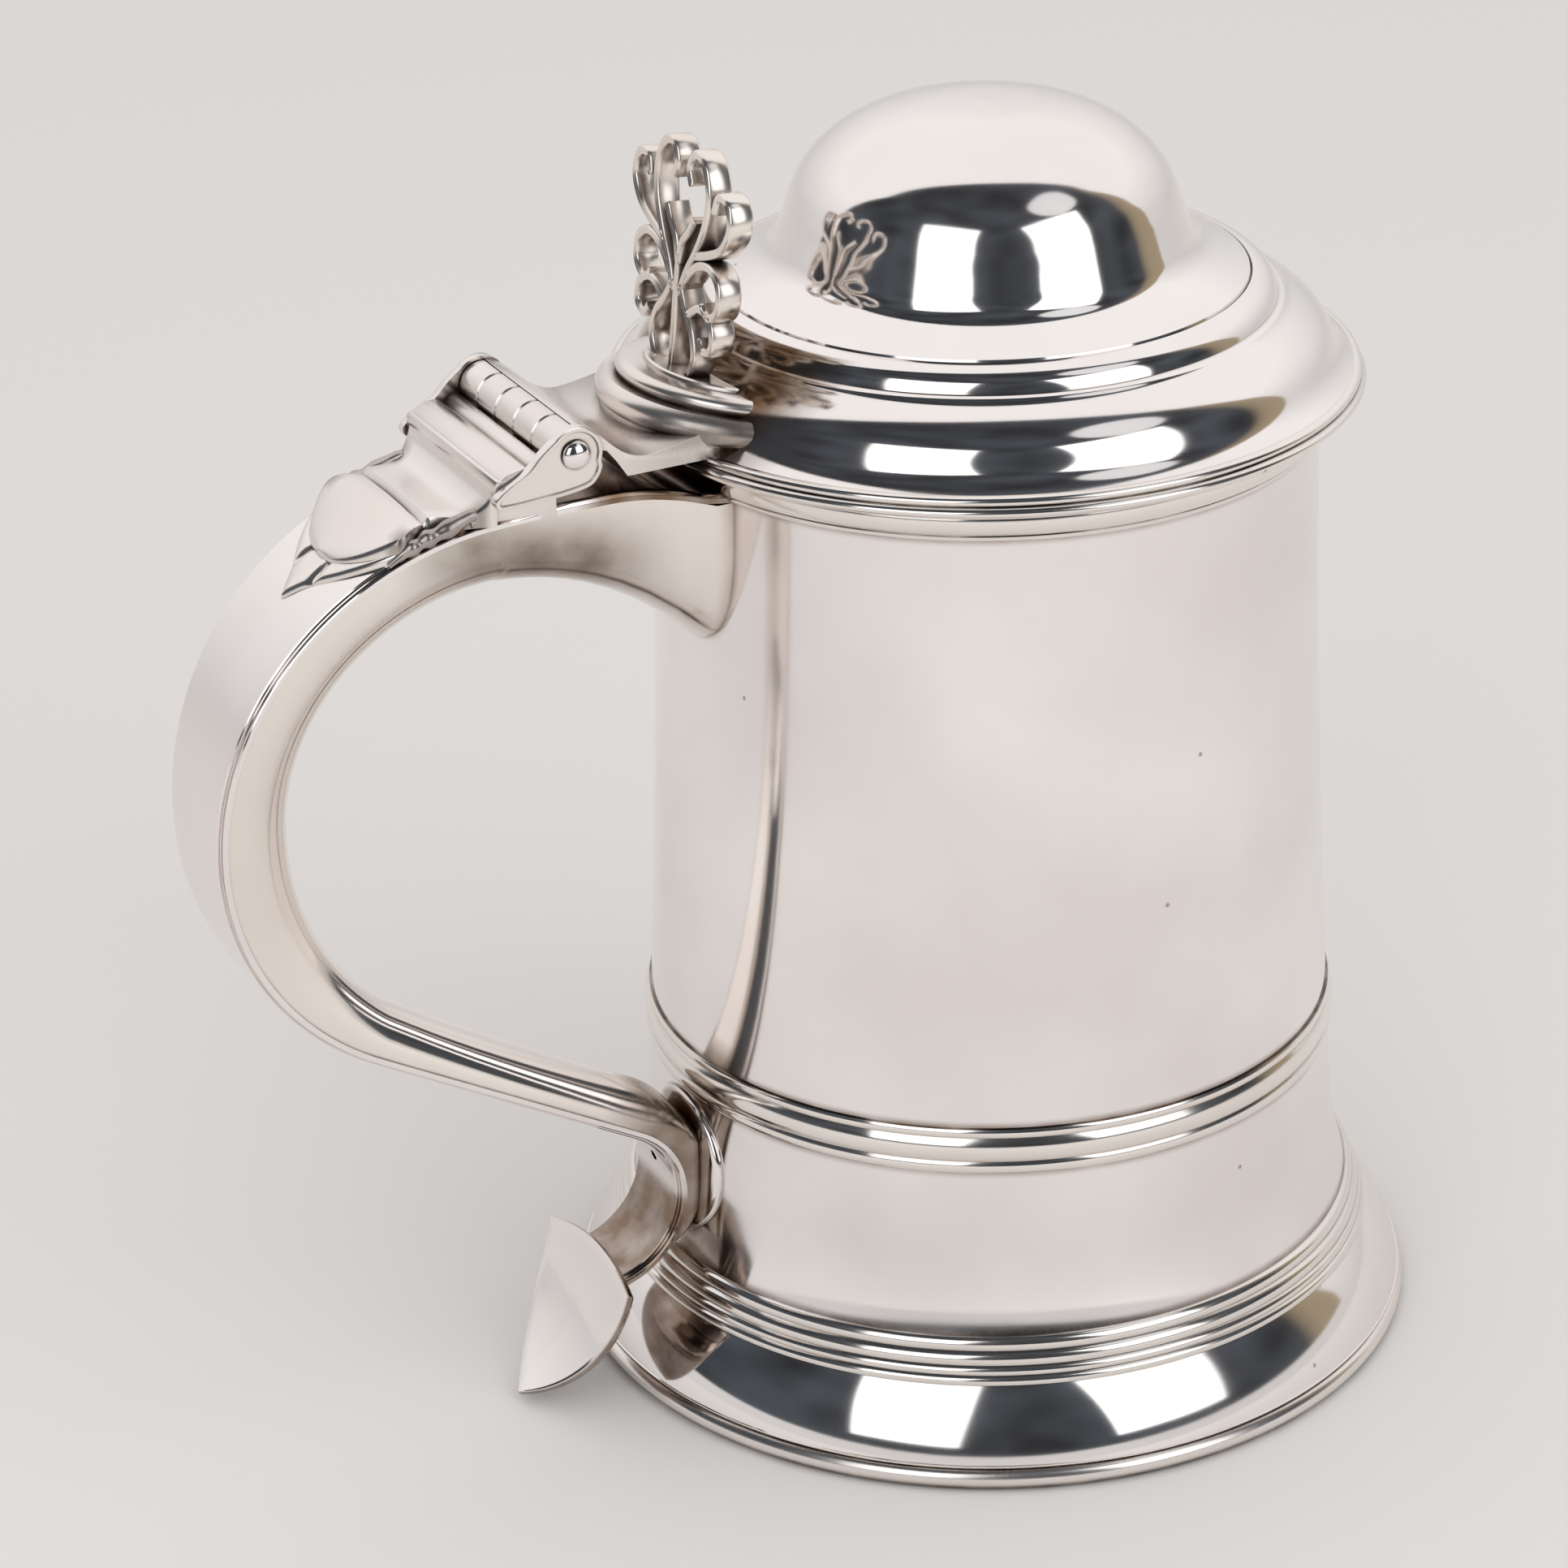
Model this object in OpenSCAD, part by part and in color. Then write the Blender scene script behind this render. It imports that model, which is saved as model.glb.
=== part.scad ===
// Lidded silver tankard: tapering drum on a spreading foot, scroll handle and a hinged domed lid.
// Millimetres. The foot rests on z = 0, the drum's axis is Z, and the handle points along -X.
// Profiles in the handle's plane are drawn as [r, z], where r is the distance from the drum's axis.

/* [Drum] */
// Height of the lip above the rest plane
drum_h = 147.8; // [144:0.2:158]
// Outer radius under the lip
drum_r_top = 47.8; // [46:0.1:49]
// Outer radius half way up, where the taper eases
drum_r_mid = 48.8; // [48:0.1:50]
// Outer radius at the girdle
drum_r_low = 51; // [50:0.1:52.5]
// Thickness of the sheet
wall = 0.9; // [0.8:0.1:1.3]
// Height of the girdle's middle
girdle_z = 50; // [49:0.5:56]
// Height of the three reeds of the girdle together
girdle_h = 7.6; // [6:0.2:9]
// How far the girdle stands out
girdle_out = 0.9; // [0.6:0.1:1.4]
// Height of the lip moulding
lip_h = 5.2; // [4:0.2:7]
// How far the lip moulding stands out
lip_out = 2.2; // [1.2:0.1:2.8]

/* [Foot] */
// Radius of the rest wire, the widest part of the tankard
foot_r = 63.7; // [60:0.1:68]
// Height of the foot up to the top of its reeded collar
foot_h = 20.9; // [18:0.1:22]
// Height of the reeded collar
collar_h = 6.5; // [5:0.1:8]
// Height of the rest wire
wire_h = 3.5; // [2.6:0.1:4.5]

/* [Lid] */
// How far the reeded rim stands out past the drum under the lip
lid_over = 6.6; // [5.2:0.1:10.2]
// Height of the lid from its seat to the top of the dome
lid_h = 41; // [38:0.5:46]
// Height of the reeded rim
rim_h = 2.95; // [2.5:0.05:3.4]
// Depth of the bezel that drops into the mouth
bezel_h = 3.2; // [2:0.1:3.6]
// Thickness of the bezel
bezel_t = 1.1; // [0.8:0.1:1.5]

/* [Handle] */
// Distance from the drum's axis to the back of the handle
handle_reach = 124; // [118:0.5:130]
// Width of the strap at the top
handle_w_top = 26; // [24:0.2:27]
// Width of the strap at the lower joint
handle_w_low = 15; // [13:0.2:18]
// Depth of the handle from its back to its inner side
handle_depth = 12.6; // [10:0.1:14]
// Height of the upper joint on the drum
root_h = 28; // [22:0.5:32]
// Thickness of the strap
strap_t = 1.4; // [1:0.1:1.8]
// Radius of the seating plate of the lower joint
mount_r = 10.9; // [9:0.1:11.2]
// Half the width of the shield at the tail's end
shield_w = 13.4; // [10:0.2:15]

/* [Hinge] */
// Length of one of the five knuckles
knuckle_l = 6; // [5.6:0.1:6.4]
// Radius of the knuckles
knuckle_r = 3.3; // [3:0.1:3.5]
// Radius of the hinge pin
pin_r = 1.2; // [0.9:0.1:1.5]
// Thickness of a cheek
cheek_t = 1.6; // [1.2:0.1:2]
// Distance from the lid's rim to the hinge pin
hinge_out = 17.3; // [16.5:0.1:19]

/* [Thumbpiece] */
// Height above its plinth
thumb_h = 32.5; // [28:0.5:37]
// Half the width
thumb_w = 16.4; // [13:0.2:17]
// Thickness from front to back
thumb_t = 3.6; // [2.8:0.1:4.2]
// Width of one scroll strip
strip_w = 1.7; // [1.3:0.1:1.9]

/* [Clearances] */
// Gap between the closed lid and the lip
seat_gap = 0.15; // [0.1:0.05:0.3]
// Gap between the bezel and the inside of the mouth
bezel_gap = 0.7; // [0.6:0.05:1]
// Gap between neighbouring knuckles
knuckle_gap = 0.12; // [0.08:0.02:0.2]
// Radial clearance of the pin in the lid's knuckles
pin_gap = 0.05; // [0.02:0.01:0.1]

/* [Hidden] */
$fn = 96;
// Room kept between two pieces that are soldered together
solder = 0.02;

// Drum
waist_z = 0.68 * drum_h;
flare_z = foot_h + 12.1;
flare_out = 2.7;
taper = (drum_r_low - drum_r_mid) / (waist_z - girdle_z);
bottom_z = foot_h + 4.3;
bottom_t = 1;
girdle_z0 = girdle_z - girdle_h / 2;

// Lid
lid_r = drum_r_top + lid_over;
seat = drum_h + seat_gap;
rim_w = 1.8;
reed_out = 0.4;
edge_r = lid_r - rim_w;
flange_t = 1.05;
bezel_r = drum_r_top - wall - bezel_gap;
dome_curve = [[0.699, 0.401], [0.627, 0.462], [0.568, 0.53], [0.528, 0.604], [0.506, 0.684], [0.48, 0.757],
              [0.438, 0.828], [0.371, 0.899], [0.279, 0.955], [0.153, 0.99], [0, 1]];

// Hinge: the pin lies across the handle
hinge_r = lid_r + hinge_out;
hinge_rise = 7.95;
hinge_z = seat + hinge_rise;
hinge_w = 5 * knuckle_l;
swing_r = knuckle_r + 0.3;
leaf_drop = 5.4;
leaf_z = hinge_z - leaf_drop;
leaf_t = 2.4;
tongue_out = 16.3;
tongue_r = hinge_r + tongue_out;
tongue_end_r = 16;

// Handle: flat top, one large arc, a straight run to the drum and the curl of the tail
strap_z = drum_h - 0.4;
run_a = -60;
tail_r = 12;
tail_gap = 5.3;
tail_end_a = 268;
step_t = 0.6;
step_in = 0.9;
curl_r = drum_r_low + tail_gap + tail_r;
run_end = [curl_r + tail_r * sin(run_a + 30), girdle_z0 - 3.1];
run_slope = tan(90 + run_a);
bow_r = (strap_z - run_end[1] - run_slope * (handle_reach - run_end[0]))
        / (1 - sin(run_a) - run_slope * (1 - cos(run_a)));
bow = [handle_reach - bow_r, strap_z - bow_r];
run_start = [bow[0] + bow_r * cos(run_a), bow[1] + bow_r * sin(run_a)];
curl = [curl_r, run_end[1] - tail_r * cos(90 + run_a)];
mount_z = curl[1] + 1.6;
vent_z = curl[1] + 3;
vent_r = 0.8;
mount_t = 1.2;

// Shield at the end of the tail: it leans outward, is hollowed by its sag and ends a little above the ground
shield_a = 34;
shield_at = [curl[0] - 0.9, curl[1] - 11.2];
shield_lift = 1.8;
shield_l = (shield_at[1] - shield_lift) / cos(shield_a);
shield_t = 1.6;
shield_sag = 2;

// Plinth and thumbpiece, which lean toward the lid
plinth_in = 14.2;
plinth_at = [lid_r - plinth_in, leaf_z + 0.1];
plinth_lean = 10.5;
plinth_tiers = [[19.8, 3.9], [17.6, 2.4], [13.4, 0.6]];
thumb_in = 8.2;
thumb_rise = 8;
thumb_z = leaf_z + thumb_rise;
thumb_r = lid_r - thumb_in;
thumb_lean = 6;
// Centre lines of one half's scrolls, as fractions of the half width and of the height
scrolls = [
    [[0.40, 0.02], [0.48, 0.08], [0.40, 0.17], [0.19, 0.27], [0.06, 0.37]],
    [[0.06, 0.33], [0.16, 0.44], [0.32, 0.56], [0.45, 0.69], [0.48, 0.83], [0.37, 0.94], [0.20, 0.96],
     [0.11, 0.89], [0.17, 0.82]],
    [[0.26, 0.53], [0.52, 0.57], [0.76, 0.63], [0.89, 0.73], [0.83, 0.83], [0.66, 0.84], [0.60, 0.76]],
    [[0.13, 0.40], [0.33, 0.49], [0.57, 0.52], [0.75, 0.47], [0.77, 0.37], [0.62, 0.31], [0.48, 0.35]],
    [[0.36, 0.21], [0.58, 0.22], [0.80, 0.21], [0.95, 0.15], [0.93, 0.07], [0.76, 0.05], [0.68, 0.11]],
    [[0, 0.46], [0.06, 0.56], [0.18, 0.63], [0.26, 0.69]]
];

// Shared shapes

function mix(a, b, t) = a + (b - a) * t;

// Points of an arc about c
function arc(c, r, a0, a1, n = 12) =
    [for (i = [0:n]) let(a = mix(a0, a1, i / n)) c + r * [cos(a), sin(a)]];

// Points from a to b that bulge by s at the middle
function bulge(a, b, s, n = 8) =
    let(d = b - a, q = [d[1], -d[0]] / norm(d))
    [for (i = [0:n]) let(t = i / n) a + d * t + q * s * 4 * t * (1 - t)];

// Sum of the first k values of v
function total(v, k) = k == 0 ? 0 : v[k - 1] + total(v, k - 1);

// Points from a to b over a row of round reeds of the given shares, of which the widest stands out by s
function reeds(a, b, shares, s, n = 6) =
    let(d = b - a, q = [d[1], -d[0]] / norm(d), whole = total(shares, len(shares)))
    concat([a], [for (k = [0:len(shares) - 1], i = [1:n])
        let(t = (total(shares, k) + shares[k] * i / n) / whole)
        a + d * t + q * s * shares[k] / max(shares) * abs(sin(180 * i / n))]);

// Points of an S-curve up and inward from a to b: it leaves a at slope sa and meets b at slope sb,
// and holds each slope the longer, the larger la and lb are
function cyma(a, la, sa, b, lb, sb, n = 14) =
    let(p = a + la * [-cos(sa), sin(sa)], q = b + lb * [cos(sb), -sin(sb)])
    [for (i = [0:n]) let(t = i / n, u = 1 - t)
        u * u * u * a + 3 * t * u * u * p + 3 * t * t * u * q + t * t * t * b];

// Smooth curve through p
function curve(p, n = 6) =
    let(m = len(p) - 1)
    concat([for (i = [0:m - 1], k = [0:n - 1])
        let(a = p[max(i - 1, 0)], b = p[i], c = p[i + 1], d = p[min(i + 2, m)], t = k / n)
        0.5 * (2 * b + (c - a) * t + (2 * a - 5 * b + 4 * c - d) * t * t
               + (3 * b - a - 3 * c + d) * t * t * t)], [p[m]]);

function flip(p) = [for (i = [len(p) - 1:-1:0]) p[i]];

// Outline of a strip of width w along the centre line c
function strip(c, w) =
    let(m = len(c) - 1,
        side = [for (i = [0:m]) let(d = c[min(i + 1, m)] - c[max(i - 1, 0)]) [-d[1], d[0]] / norm(d) * w / 2])
    concat([for (i = [0:m]) c[i] + side[i]], [for (i = [m:-1:0]) c[i] - side[i]]);

// A profile of the handle's plane, drawn as [r, z], made w wide
module across(w) {
    rotate([90, 0, 180]) linear_extrude(w, center = true) children();
}

// A profile drawn as [y, z], made t thick outward from radius r on the handle's side
module facing(r, t) {
    translate([-r - t, 0, 0]) rotate([90, 0, 90]) linear_extrude(t) children();
}

// A round bar along the hinge pin
module pin_bar(y0, y1, r) {
    translate([-hinge_r, y0, hinge_z]) rotate([-90, 0, 0]) cylinder(h = y1 - y0, r = r);
}

// A band of a ring, as seen in the handle's plane
module arc_band(c, r0, r1, a0, a1) {
    am = (a0 + a1) / 2;
    far = 3 * r1;
    intersection() {
        translate(c) difference() {
            circle(r1);
            circle(r0);
        }
        polygon(concat([c], [for (a = [a0, am, a1]) c + far * [cos(a), sin(a)]]));
    }
}

// Drum

function drum_r(z) =
    z >= waist_z ? mix(drum_r_mid, drum_r_top, (z - waist_z) / (drum_h - waist_z)) :
    z >= flare_z ? drum_r_mid + taper * (waist_z - z) :
    drum_r_mid + taper * (waist_z - flare_z) + flare_out * pow((flare_z - z) / (flare_z - foot_h), 2);

drum_side = concat([for (i = [0:8]) let(z = mix(foot_h, flare_z, i / 8)) [drum_r(z), z]],
                   [[drum_r_mid, waist_z], [drum_r_top, drum_h]]);

module drum_solid() {
    rotate_extrude() polygon(concat([[0, foot_h]], drum_side, [[0, drum_h]]));
}

module body_barrel() {
    inside = [for (p = flip(drum_side)) p - [wall, 0]];
    color("silver") rotate_extrude() polygon(concat(drum_side, inside));
}

module body_bottom() {
    z1 = bottom_z + bottom_t;
    inset = wall + 0.04;
    edge = [[drum_r(bottom_z) - inset - 0.2, bottom_z], [drum_r(z1) - inset, z1]];
    color("gainsboro") rotate_extrude() polygon(concat([[0, bottom_z]], edge, [[0, z1]]));
}

module girdle_band() {
    z1 = girdle_z0 + girdle_h;
    rise = 0.4 * girdle_out;
    a = [drum_r(girdle_z0) + rise, girdle_z0];
    b = [drum_r(z1) + rise, z1];
    side = reeds(a, b, [3, 5, 3], girdle_out - rise);
    color("lightgray") rotate_extrude()
        polygon(concat([[drum_r(girdle_z0), girdle_z0]], side, [[drum_r(z1), z1]]));
}

module rim_moulding() {
    z0 = drum_h - lip_h;
    fillet_h = 0.9;
    fillet_r = drum_r(z0) + 0.4 * lip_out;
    low = [drum_r_top + 0.7 * lip_out, z0 + fillet_h + 0.2];
    high = [drum_r_top + 0.5 * lip_out, drum_h];
    fillet = [[drum_r(z0), z0], [fillet_r, z0], [fillet_r, z0 + fillet_h]];
    outer = concat(fillet, bulge(low, high, 0.4 * lip_out), [[drum_r_top, drum_h]]);
    reach = drum_r_top + 2 * lip_out;
    gap = handle_w_top + 2 * solder;
    color("lightgray") difference() {
        rotate_extrude() polygon(outer);
        // The moulding stops on either side of the handle
        translate([-reach, -gap / 2, z0 - lip_h]) cube([reach, gap, 3 * lip_h]);
    }
}

// Foot

collar_z = foot_h - collar_h;
collar_top = [drum_r(foot_h) + 0.2, foot_h];
collar_low = [mix(foot_r, collar_top[0], 0.68), collar_z];
skirt_low = [foot_r - 1.4, wire_h];
collar_t = 0.8;
skirt_out = 0.6;

module foot_collar() {
    back = [collar_top - [collar_t, 0], collar_low - [collar_t, 0]];
    side = reeds(collar_low, collar_top, [2, 2, 3, 3], reed_out);
    color("lightgray") rotate_extrude() polygon(concat(side, back));
}

module foot_skirt() {
    outer = concat(bulge(skirt_low, collar_low - [collar_t / 4, 0], skirt_out),
                   [collar_low - [collar_t, 0], collar_top - [collar_t, 0]]);
    inner = [for (p = flip(outer)) p - [1.2 * wall, p[1] > wire_h ? 0.3 : 0]];
    color("silver") rotate_extrude() polygon(concat(outer, inner));
}

module foot_rim_wire() {
    half = wire_h / 2;
    color("gainsboro") rotate_extrude()
        polygon(concat(arc([foot_r - half, half], half, -90, 90), [[foot_r - 3.9, wire_h], [foot_r - 3.9, 0]]));
}

// Lid

cone_low = [edge_r, seat + rim_h];
cone_top = [0.792 * lid_r, seat + 0.304 * lid_h];
band_low = [0.768 * lid_r, seat + 0.321 * lid_h];
band_top = [0.699 * lid_r, seat + 0.399 * lid_h];
band_out = 0.85;
step_side = cyma(cone_low, 0.1 * lid_r, 33, cone_top, 0.175 * lid_r, 28);
lid_side = concat(step_side, bulge(cone_top, band_low, reed_out / 2), bulge(band_low, band_top, band_out),
                  curve([for (p = dome_curve) [p[0] * lid_r, seat + p[1] * lid_h]]));

// Rim of two reeds, the upper one smaller and set back
rim_groove = [lid_r - 0.8, seat + 0.56 * rim_h];
rim_side = concat(bulge([lid_r - 0.6, seat], rim_groove, 0.7),
                  bulge(rim_groove, [edge_r + 0.5, seat + rim_h], 0.4));

module lid_solid() {
    rotate_extrude() polygon(concat([[0, seat]], rim_side, lid_side));
}

module lid_cover() {
    foot_z = seat + flange_t;
    inside = [for (p = flip(lid_side)) [max(0, p[0] - 0.75 * wall), p[1] - 0.85 * wall]];
    color("silver") rotate_extrude()
        polygon(concat([[edge_r, foot_z]], lid_side, inside, [[edge_r - 0.75 * wall, foot_z]]));
}

module lid_rim() {
    color("lightgray") rotate_extrude() polygon(concat(rim_side, [[edge_r, seat + rim_h], [edge_r, seat]]));
}

module lid_bezel() {
    inner = bezel_r - bezel_t;
    low = seat - bezel_h;
    top = seat + flange_t;
    color("gainsboro") rotate_extrude()
        polygon([[inner, low], [bezel_r, low], [bezel_r, seat], [edge_r, seat], [edge_r, top], [inner, top]]);
}

// Hinge

// The bore for the pin through every knuckle
module pin_bore(gap) {
    pin_bar(-hinge_w, hinge_w, pin_r + gap);
}

// Knuckles are numbered from 0 to 4 along +Y; the lid carries 1 and 3
module knuckle(i) {
    y0 = -hinge_w / 2 + i * knuckle_l;
    trim0 = i > 0 ? knuckle_gap / 2 : 0;
    trim1 = i < 4 ? knuckle_gap / 2 : 0;
    pin_bar(y0 + trim0, y0 + knuckle_l - trim1, knuckle_r);
}

// A web of the given outline that joins knuckle i to its leaf
module web(i, outline) {
    translate([0, -hinge_w / 2 + (i + 0.5) * knuckle_l, 0]) across(knuckle_l - knuckle_gap)
        translate([hinge_r, hinge_z]) polygon(outline);
}

// Height of the strap's back at radius r, over the flat top and the bow
function back_z(r) = r < bow[0] ? strap_z : bow[1] + sqrt(max(0, bow_r * bow_r - (r - bow[0]) * (r - bow[0])));

// Everything under the strap's back, in the handle's plane
module under_strap() {
    translate(bow) circle(bow_r);
    square([bow[0], strap_z]);
}

// The tongue's rounded end as a plan, made tall
module tongue_plan(gap = 0) {
    translate([-tongue_r, 0, 0]) cylinder(h = 2 * drum_h, r = tongue_end_r + gap);
}

// Points given as [distance from the hinge pin, height over the strap's back]
function over_back(points) = [for (p = points) let(r = hinge_r + p[0]) [r, back_z(r) + p[1]]];

// Stepped plate: a grooved block at the hinge, a hollow and a domed tongue down the handle's back
module hinge_plate() {
    block = [[2.5, -30], [2.5, -2.2], [3.4, -1], [4.6, -1], [6.3, -2.4], [6.9, -1.5], [9.9, -1.9], [10.4, -2.7],
             [10.9, -2], [11.5, -2.3], [11.5, -30]];
    hollow = curve(over_back([[11.3, 5.6], [12.2, 3], [14, 1.8], [16.4, 1.9], [19.6, 2.9]]));
    groove = over_back([[20.3, 2.3]]);
    tongue = curve(over_back([[20.9, 2.8], [22.6, 3.5], [25, 3.35], [28.4, 2.3], [32.4, 1.3]]));
    tail_top = concat(hollow, groove, tongue);
    tail = concat([[tail_top[0][0], bow[1]]], tail_top, [[tail_top[len(tail_top) - 1][0], bow[1]]]);
    color("gainsboro") difference() {
        union() {
            difference() {
                union() {
                    across(hinge_w) difference() {
                        translate([hinge_r, hinge_z]) polygon(block);
                        under_strap();
                    }
                    intersection() {
                        across(handle_w_top) difference() {
                            polygon(tail);
                            under_strap();
                        }
                        union() {
                            tongue_plan();
                            translate([-tongue_r, -hinge_w, 0]) cube([tongue_r, 2 * hinge_w, 2 * drum_h]);
                        }
                    }
                }
                pin_bar(-hinge_w, hinge_w, swing_r);
            }
            for (i = [0, 2, 4]) {
                knuckle(i);
                web(i, [[-0.5, -3.2], [5, -3.2], [5, -2.7], [2.9, -0.4]]);
            }
        }
        pin_bore(solder);
    }
}

module hinge_cheeks() {
    tail = [[2.9, 3], [5.6, -1.2], [8.4, -2.9], [12, -4.1], [12.2, -5.4], [2.7, -4.8], [-0.8, -4.2]];
    color("lightgray") difference() {
        for (s = [0, 1]) mirror([0, s, 0]) translate([0, hinge_w / 2 + cheek_t / 2, 0]) across(cheek_t) {
            translate([hinge_r, hinge_z]) {
                circle(knuckle_r + 1);
                polygon(tail);
            }
        }
        pin_bore(solder);
    }
}

module hinge_pin() {
    reach = hinge_w / 2 + cheek_t;
    color("darkgray") pin_bar(-reach, reach, pin_r);
}

module pin_heads() {
    head_r = 2.1;
    head_h = 1.2;
    color("lightgray") for (s = [0, 1]) mirror([0, s, 0])
        translate([-hinge_r, hinge_w / 2 + cheek_t, hinge_z]) rotate([-90, 0, 0]) rotate_extrude()
            polygon(concat([[0, 0]], [for (a = [0:10:90]) [head_r * cos(a), head_h * sin(a)]]));
}

// The flat leaf that rises behind the knuckles
module leaf_plate() {
    inner = -hinge_out - 10;
    top = leaf_t - leaf_drop;
    outline = [[inner, -leaf_drop], [-7.9, -leaf_drop], [-6.6, -3], [-5.4, -0.4], [-4.3, 1.6], [-2.9, 3.1],
               [-2.4, 3.9], [-3.4, 3.8], [-5.4, 2], [-7.5, -0.8], [-9.4, -2.4], [-11, top], [inner, top]];
    across(hinge_w - 2 * knuckle_gap) translate([hinge_r, hinge_z]) polygon(outline);
}

module lid_leaf() {
    color("gainsboro") difference() {
        union() {
            difference() {
                leaf_plate();
                pin_bar(-hinge_w, hinge_w, swing_r);
                lid_solid();
            }
            for (i = [1, 3]) {
                knuckle(i);
                web(i, [[0.4, 3.2], [-2.4, 3.9], [-5.4, 2], [-5.8, -1.4], [-1.6, -2.8]]);
            }
        }
        pin_bore(pin_gap);
    }
}

// Handle

function handle_w(z) =
    mix(handle_w_low, handle_w_top, pow(max(0, (z - run_start[1]) / (strap_z - run_start[1])), 1.6));

// Strap between depths d0 and d1 under the handle's back
module strap_profile(d0, d1) {
    lap = 0.3;
    run_l = norm(run_start - run_end) + 2 * lap;
    translate([0, strap_z - d1]) square([bow[0] + lap, d1 - d0]);
    arc_band(bow, bow_r - d1, bow_r - d0, run_a, 90);
    translate(run_end) rotate(90 + run_a) translate([-lap, d0]) square([run_l, d1 - d0]);
    arc_band(curl, tail_r + d0, tail_r + d1, 180 + run_a, tail_end_a);
}

// Outline of the strap seen from behind, inset at both edges
module strap_front(inset) {
    heights = [for (i = [0:30]) mix(0, strap_z + 1, i / 30)];
    right = [for (z = heights) [handle_w(z) / 2 - inset, z]];
    left = [for (z = flip(heights)) [inset - handle_w(z) / 2, z]];
    polygon(concat(right, left));
}

module strap_layer(d0, d1, inset) {
    intersection() {
        across(handle_w_top) strap_profile(d0, d1);
        facing(0, handle_reach + 10) strap_front(inset);
    }
}

// Moves the shield from its own plane, brow at the origin and tip along +X, to the end of the tail
module at_shield() {
    translate([-shield_at[0], 0, shield_at[1]]) rotate([0, 90 + shield_a, 0]) children();
}

// The shield's hollowed sheet, endless to both sides
module shield_sheet(t) {
    sheet_r = shield_l * shield_l / (8 * shield_sag) + shield_sag / 2;
    translate([shield_l / 2, 0, shield_sag - sheet_r]) rotate([90, 0, 0])
        cylinder(h = 4 * shield_w, r = sheet_r + t, center = true);
}

module handle_strap() {
    color("silver") difference() {
        union() {
            strap_layer(0, step_t, step_in);
            strap_layer(step_t, strap_t, 0);
        }
        drum_solid();
        // The tail ends on the shield's back
        at_shield() intersection() {
            shield_sheet(shield_t);
            translate([-4, -shield_w, -8]) cube(2 * shield_w);
        }
        translate([-curl[0], 0, vent_z]) rotate([0, 90, 0]) cylinder(h = 2 * tail_r, r = vent_r);
    }
}

// The rounded inner half of the handle, an open trough that the strap closes
rim_d = strap_t + solder;
run_depth = 0.5 * handle_depth;
arc_steps = 30;

// Stations along the back: [r, z, inward normal r, inward normal z, depth, squareness]
root_r = drum_r_top + 1;
stations = concat(
    [for (i = [0:8]) let(u = 1 - i / 8, r = mix(bow[0], root_r, u * u))
        [r, strap_z, 0, -1, handle_depth + (root_h - handle_depth) * pow((bow[0] - r) / (bow[0] - root_r), 2),
         2.4 + 0.9 * u]],
    [for (i = [1:arc_steps]) let(a = mix(90, run_a, i / arc_steps), low = pow(max(0, a / run_a), 1.6))
        [bow[0] + bow_r * cos(a), bow[1] + bow_r * sin(a), -cos(a), -sin(a),
         mix(handle_depth, 1.25 * run_depth, low), 2.4]],
    [for (i = [1:4]) let(t = i / 4, p = mix(run_start, run_end, t))
        [p[0], p[1], -cos(run_a), -sin(run_a), run_depth * (1 + 0.25 * pow(1 - t, 3)), 2.4]]);

function power(v, e) = sign(v) * pow(abs(v), e);

// One side of the trough's section at station s, drawn in by t
function trough(s, t) =
    [for (a = [0:15:180])
        let(y = (handle_w(s[1]) / 2 - 0.5 - t) * power(cos(a), 2 / s[5]),
            d = rim_d + (s[4] - rim_d - t) * power(sin(a), 2 / s[5]))
        [-(s[0] + s[2] * d), y, s[1] + s[3] * d]];

function ring(s) = concat(trough(s, 0), flip(trough(s, wall)));

// A point slid along d until it meets the upright cylinder of radius r
function slide(p, d, r) =
    let(x = -sqrt(r * r - p[1] * p[1]), t = (x - p[0]) / d[0]) p + d * t;

module handle_shell() {
    run_d = [cos(90 + run_a), 0, -sin(90 + run_a)];
    first = [for (p = ring(stations[0])) slide(p, [1, 0, 0], drum_r(p[2]) + solder)];
    last_ring = ring(stations[len(stations) - 1]);
    last = [for (p = last_ring) slide(p, run_d, drum_r(mount_z) + mount_t + 0.1)];
    rings = concat([first], [for (s = stations) ring(s)], [last]);
    n = len(first);
    count = len(rings);
    side = [for (k = [0:count - 2], j = [0:n - 1])
        let(a = k * n + j, b = k * n + (j + 1) % n) each [[a, b, a + n], [b, b + n, a + n]]];
    half = n / 2;
    cap0 = [for (j = [0:half - 2]) each [[j, n - 1 - j, j + 1], [j + 1, n - 1 - j, n - 2 - j]]];
    end = (count - 1) * n;
    cap1 = [for (f = cap0) [f[0] + end, f[2] + end, f[1] + end]];
    color("lightgray") polyhedron(points = [for (r = rings, p = r) p], faces = concat(side, cap0, cap1));
}

// Round plate on the drum under the handle's lower joint
module lower_mount_plate() {
    z0 = mount_z - mount_r - 1;
    z1 = mount_z + mount_r + 1;
    inner = drum_r_low / 2;
    side = [for (i = [0:12]) let(z = mix(z0, z1, i / 12)) [drum_r(z) + mount_t, z]];
    color("gainsboro") difference() {
        intersection() {
            rotate_extrude() polygon(concat([[inner, z0]], side, [[inner, z1]]));
            translate([0, 0, mount_z]) rotate([0, -90, 0]) cylinder(h = foot_r, r = mount_r);
        }
        drum_solid();
    }
}

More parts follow.
